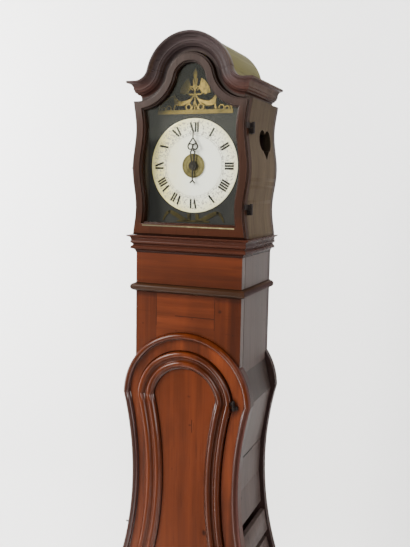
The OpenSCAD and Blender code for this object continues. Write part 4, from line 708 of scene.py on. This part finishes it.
# Nodes of each look, and how far the edges of a look are rounded, in millimetres
LOOK = {
    "front": ["plinth", "trunk_front", "trunk_door_frame"],
    "panel": ["trunk_door_panel"],
    "neck": ["neck_front"],
    "edge": ["trunk_moulding"],
    "mould": ["trunk_door_moulding"],
    "mid": ["mid_moulding"],
    "seat": ["hood_seat_moulding"],
    "base": ["plinth_moulding"],
    "hood": ["hood_door_frame", "hood_arch_board", "glass_bead"],
    "cornice": ["hood_cornice"],
    "side": ["neck_sides"],
    "hood_side": ["hood_side_left", "hood_side_right"],
    "planks": ["trunk_side_left", "trunk_side_right"],
    "raw": ["hood_roof"],
    "back": ["case_back", "hood_back"],
    "raw_z": ["seat_board"],
    "iron": ["movement_cage", "train_bars", "pendulum_cock", "bell_stand", "verge", "pendulum_rod",
             "alarm_hammer"],
    "hinge": ["trunk_hinge_posts", "hood_hinge_leaves", "hood_door_hinges", "hood_door_pull",
              "trunk_door_hinges"],
    "cast": ["going_weight", "going_counterweight", "alarm_weight", "alarm_counterweight"],
    "hand": ["hour_hand"],
    "brass": ["bell", "pendulum_bob"],
    "crest": ["fronton"],
    "disc": ["alarm_disc"],
    "dim": ["lower_ornament"],
    "brass_bright": ["hour_wheel", "great_wheel", "going_sheave", "intermediate_wheel", "third_wheel",
                     "crown_wheel", "alarm_wheel"],
    "plate": ["dial_plate"],
    "enamel": ["dial"],
    "glass": ["hood_glass"],
    "rope": ["rope_wraps", "going_rope", "going_tail_rope", "alarm_rope", "alarm_tail_rope"],
}
SOFTEN = {
    "front": 1.2, "neck": 0.6, "panel": 1.5, "edge": 0.7, "mould": 0.7, "mid": 0.8, "seat": 0.8,
    "base": 0.8, "hood": 1.4, "cornice": 0.8, "side": 1.0, "hood_side": 1.0, "planks": 0.8, "raw": 0.6,
    "back": 1.2, "raw_z": 0.8, "iron": 0.5, "hinge": 0.5, "hand": 0.5, "brass": 0.4, "crest": 0.5,
    "dim": 0.4, "disc": 0.4, "cast": 0.8,
}
WELD_REACH = 0.02 * MM
SHARP_ANGLE = math.radians(38)


def paint(obj, mat):
    obj.data.materials.clear()
    obj.data.materials.append(mat)


def soften(obj, look):
    """Welds the seams of a mesh and rounds its sharp edges as far as its look asks."""
    weld = obj.modifiers.new("weld", "WELD")
    weld.merge_threshold = WELD_REACH
    bevel = obj.modifiers.new("soft_edges", "BEVEL")
    bevel.width = SOFTEN[look] * MM
    bevel.segments = 2
    bevel.limit_method = "ANGLE"
    bevel.angle_limit = SHARP_ANGLE


def dress(obj, look, body):
    """Paints a piece that is made here and ties it to its body."""
    paint(obj, MATS[look])
    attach(obj, body)


for look, names in LOOK.items():
    for name in names:
        paint(nodes[name], MATS[look])
        if look in SOFTEN:
            soften(nodes[name], look)

floor = backdrop()
paint(floor, MATS["floor"])

# The dial's face as the source turns it: height at its hole, fall toward its rim, radius of the hole and
# width of the rim
FACE_HIGH, FACE_FALL, FACE_HOLE, FACE_RIM = 2.6 * MM, 1.2 * MM, 8 * MM, 2 * MM


def dome(r):
    """Height of the dial's face above its back at a radius."""
    u = max(0.0, (r - FACE_HOLE) / (DIAL_R - FACE_RIM - FACE_HOLE))
    return FACE_HIGH - FACE_FALL * u * u


class Ink:
    """Collects flat patches that follow the dial's face."""

    def __init__(self, name, lift):
        self.name = name
        self.lift = lift
        self.verts = []
        self.faces = []

    def point(self, x, z):
        self.verts.append((DIAL_X + x, DIAL_Y - dome(math.hypot(x, z)) - self.lift, DIAL_Z + z))
        return len(self.verts) - 1

    def strip(self, pts_a, pts_b):
        a = [self.point(*p) for p in pts_a]
        b = [self.point(*p) for p in pts_b]
        for i in range(len(a) - 1):
            self.faces.append((a[i], a[i + 1], b[i + 1], b[i]))

    def stroke(self, p, q, w0, w1, turn, n=6):
        """Straight stroke in a numeral's own frame, turned about the dial's centre."""
        d = Vector((q[0] - p[0], q[1] - p[1]))
        side = Vector((-d.y, d.x)).normalized()
        ca, sa = math.cos(turn), math.sin(turn)
        rows = ([], [])
        for i in range(n + 1):
            t = i / n
            c = Vector(p) + d * t
            w = w0 + (w1 - w0) * t
            for row, s in zip(rows, (0.5, -0.5)):
                v = c + side * w * s
                row.append((v.x * ca - v.y * sa, v.x * sa + v.y * ca))
        self.strip(*rows)

    def ring(self, r0, r1, n=120):
        turns = [2 * math.pi * i / n for i in range(n + 1)]
        self.strip([(r0 * math.cos(a), r0 * math.sin(a)) for a in turns],
                   [(r1 * math.cos(a), r1 * math.sin(a)) for a in turns])

    def make(self, look):
        dress(link_mesh(self.name, self.verts, self.faces), look, "case")


# Numerals: their inner and outer radius, thick and thin strokes, width of a letter and half a serif
HOURS = ["XII", "I", "II", "III", "IIII", "V", "VI", "VII", "VIII", "IX", "X", "XI"]
LOW, HIGH = 85.5 * MM, 109.5 * MM
STROKE, HAIR = 5.3 * MM, 0.7 * MM
WIDTH = {"I": 6.6 * MM, "V": 13.5 * MM, "X": 13.5 * MM}
SERIF = 2.4 * MM
# The V's two feet, to the right of its middle, and its thin stroke's head, to the left of its right end
V_FOOT, V_HAIR_FOOT, V_HAIR_HEAD = 0.3 * MM, 0.9 * MM, 2.0 * MM
INK_LIFT, FAINT_LIFT = 0.10 * MM, 0.08 * MM
HOUR_TURN = math.radians(30)


def letter(ink, c, x, turn):
    """One letter that starts at x, with its serifs."""
    mid = x + WIDTH[c] / 2
    left = x + SERIF
    right = x + WIDTH[c] - SERIF
    if c == "I":
        strokes = [((mid, LOW), (mid, HIGH), STROKE)]
        feet = [(mid, LOW), (mid, HIGH)]
    elif c == "V":
        head = x + WIDTH[c] - V_HAIR_HEAD
        strokes = [((left, HIGH), (mid + V_FOOT, LOW), STROKE),
                   ((head, HIGH), (mid + V_HAIR_FOOT, LOW), HAIR)]
        feet = [(left, HIGH), (head, HIGH)]
    else:
        strokes = [((left, HIGH), (right, LOW), STROKE), ((right, HIGH), (left, LOW), HAIR)]
        feet = [(p, q) for p in (left, right) for q in (LOW, HIGH)]
    for p, q, width in strokes:
        ink.stroke(p, q, width, width, turn)
    for p, q in feet:
        ink.stroke((p - SERIF, q), (p + SERIF, q), HAIR, HAIR, turn, 2)


def numerals():
    ink = Ink("dial_numerals", INK_LIFT)
    for hour, word in enumerate(HOURS):
        x = -sum(WIDTH[c] for c in word) / 2
        for c in word:
            letter(ink, c, x, -HOUR_TURN * hour)
            x += WIDTH[c]
    ink.make("ink")


# Track: its two circles and the lines between them, four to an hour
TRACK_IN, TRACK_OUT, TRACK_LINE = 78 * MM, 83 * MM, 0.7 * MM
HOUR_LINE, QUARTER_LINE, QUARTERS = 1.4 * MM, 0.9 * MM, 4
# Half-hour marks: radii of the inner point, the widest place and the outer point, widths, and a cross bar
MARK_IN, MARK_MID, MARK_OUT = 92 * MM, 97 * MM, 104 * MM
MARK_WIDE, MARK_POINT = 2.6 * MM, 0.2 * MM
BAR_AT, BAR_HALF, BAR_WIDE = 96.5 * MM, 2.4 * MM, 0.6 * MM


def track():
    faint = Ink("dial_track", FAINT_LIFT)
    for r in (TRACK_IN, TRACK_OUT):
        faint.ring(r - TRACK_LINE / 2, r + TRACK_LINE / 2)
    for i in range(len(HOURS) * QUARTERS):
        width = QUARTER_LINE if i % QUARTERS else HOUR_LINE
        faint.stroke((0, TRACK_IN), (0, TRACK_OUT), width, width, -HOUR_TURN * i / QUARTERS, 1)
    for hour in range(len(HOURS)):
        turn = -HOUR_TURN * (hour + 0.5)
        faint.stroke((0, MARK_IN), (0, MARK_MID), MARK_POINT, MARK_WIDE, turn, 2)
        faint.stroke((0, MARK_MID), (0, MARK_OUT), MARK_WIDE, MARK_POINT, turn, 2)
        faint.stroke((-BAR_HALF, BAR_AT), (BAR_HALF, BAR_AT), BAR_WIDE, BAR_WIDE, turn, 1)
    faint.make("faint")


# Gilt strip on the hood door's lower rail: half its length, how far it stands out and lies in, and its
# edges below the pane's lower end
RAIL_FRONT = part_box("hood_door_frame")[0][1]
RAIL_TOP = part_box("hood_glass")[0][2]
GILT_HALF, GILT_PROUD, GILT_SUNK = 128 * MM, 0.6 * MM, 0.2 * MM
GILT_LOWER, GILT_UPPER = 4.2 * MM, 1.0 * MM


def gilt_strip():
    xs = (-GILT_HALF, GILT_HALF)
    ys = (RAIL_FRONT - GILT_PROUD, RAIL_FRONT + GILT_SUNK)
    zs = (RAIL_TOP - GILT_LOWER, RAIL_TOP - GILT_UPPER)
    verts = [(x, y, z) for z in zs for y in ys for x in xs]
    faces = [(0, 2, 3, 1), (4, 5, 7, 6), (0, 1, 5, 4), (2, 6, 7, 3), (0, 4, 6, 2), (1, 3, 7, 5)]
    dress(link_mesh("gilt_strip", verts, faces), "gilt", "hood_door")


def tube(name, rings, r, sides, smooth):
    """Closed round rod of a radius through a list of (centre, first direction, second direction)."""
    turns = [2 * math.pi * k / sides for k in range(sides)]
    verts = [c + r * (math.cos(a) * u + math.sin(a) * v) for c, u, v in rings for a in turns]
    faces = []
    for first in range(0, sides * (len(rings) - 1), sides):
        for k in range(sides):
            after = (k + 1) % sides
            faces.append((first + k, first + after, first + sides + after, first + sides + k))
    last = sides * (len(rings) - 1)
    faces.append(tuple(range(sides - 1, -1, -1)))
    faces.append(tuple(range(last, last + sides)))
    return link_mesh(name, verts, faces, smooth)


# Small pin in the trunk's left edge
PIN_ROOT, PIN_TIP = (-160 * MM, -115 * MM, 838 * MM), (-172 * MM, -115 * MM, 838 * MM)
PIN_R, PIN_SIDES = 2.2 * MM, 12


def edge_pin():
    along = (Vector(PIN_TIP) - Vector(PIN_ROOT)).normalized()
    u = along.orthogonal().normalized()
    v = along.cross(u)
    rings = [(Vector(end), u, v) for end in (PIN_ROOT, PIN_TIP)]
    dress(tube("edge_pin", rings, PIN_R, PIN_SIDES, False), "iron", "case")


# Low brass ornament under the dial, two posts and two wings on a foot, cut from the sheet that its node
# lies in: strokes as (x, height, width) in millimetres, the posts and wings for the right half
ORNAMENT_FOOT = [(-46, 2.6, 5), (46, 2.6, 5)]
ORNAMENT_HALF = [
    [(12, 2, 12), (12, 12, 9), (11, 22, 9)],
    [(18, 4, 8), (33, 10, 11), (50, 19, 12), (63, 25, 10), (72, 27, 5)],
    [(65, 27, 7), (74, 23, 8), (81, 13, 6), (86, 1.5, 3)],
]


def ornament():
    lo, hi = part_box("lower_ornament")
    mirrored = [[(-x, z, w) for x, z, w in reversed(stroke)] for stroke in ORNAMENT_HALF]
    verts, faces = [], []
    for stroke in [ORNAMENT_FOOT] + ORNAMENT_HALF + mirrored:
        first = len(verts)
        for i, (x, z, w) in enumerate(stroke):
            before = stroke[max(i - 1, 0)]
            after = stroke[min(i + 1, len(stroke) - 1)]
            along = Vector((after[0] - before[0], after[1] - before[1])).normalized()
            for side in (0.5, -0.5):
                px = DIAL_X + (x - along.y * w * side) * MM
                pz = lo[2] + max(0.0, z + along.x * w * side) * MM
                verts += [(px, lo[1], pz), (px, hi[1], pz)]
        last = first + 4 * (len(stroke) - 1)
        for a in range(first, last, 4):
            b = a + 4
            faces += [(a, b, b + 2, a + 2), (a + 1, a + 3, b + 3, b + 1)]
            faces += [(a, a + 1, b + 1, b), (a + 2, b + 2, b + 3, a + 3)]
        faces += [(first, first + 2, first + 3, first + 1), (last, last + 1, last + 3, last + 2)]
    obj = link_mesh("ornament_wings", verts, faces)
    soften(obj, "dim")
    dress(obj, "dim", "case")
    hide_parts("lower_ornament")


ROPE_RINGS, ROPE_SIDES = 48, 10


def rope(name, node):
    """Rope that stretches between its sheave and its weight."""
    lo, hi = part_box(node)
    cx, cy = (lo[0] + hi[0]) / 2, (lo[1] + hi[1]) / 2
    heights = [lo[2] + (hi[2] - lo[2]) * i / ROPE_RINGS for i in range(ROPE_RINGS + 1)]
    rings = [(Vector((cx, cy, z)), Vector((1, 0, 0)), Vector((0, 1, 0))) for z in heights]
    obj = tube(name, rings, (hi[0] - lo[0]) / 2, ROPE_SIDES, True)
    paint(obj, MATS["rope"])
    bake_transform(obj)
    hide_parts(node)


numerals()
track()
gilt_strip()
edge_pin()
ornament()
rope("going_rope_line", "going_rope")
rope("going_tail_line", "going_tail_rope")
rope("alarm_rope_line", "alarm_rope")
rope("alarm_tail_line", "alarm_tail_rope")
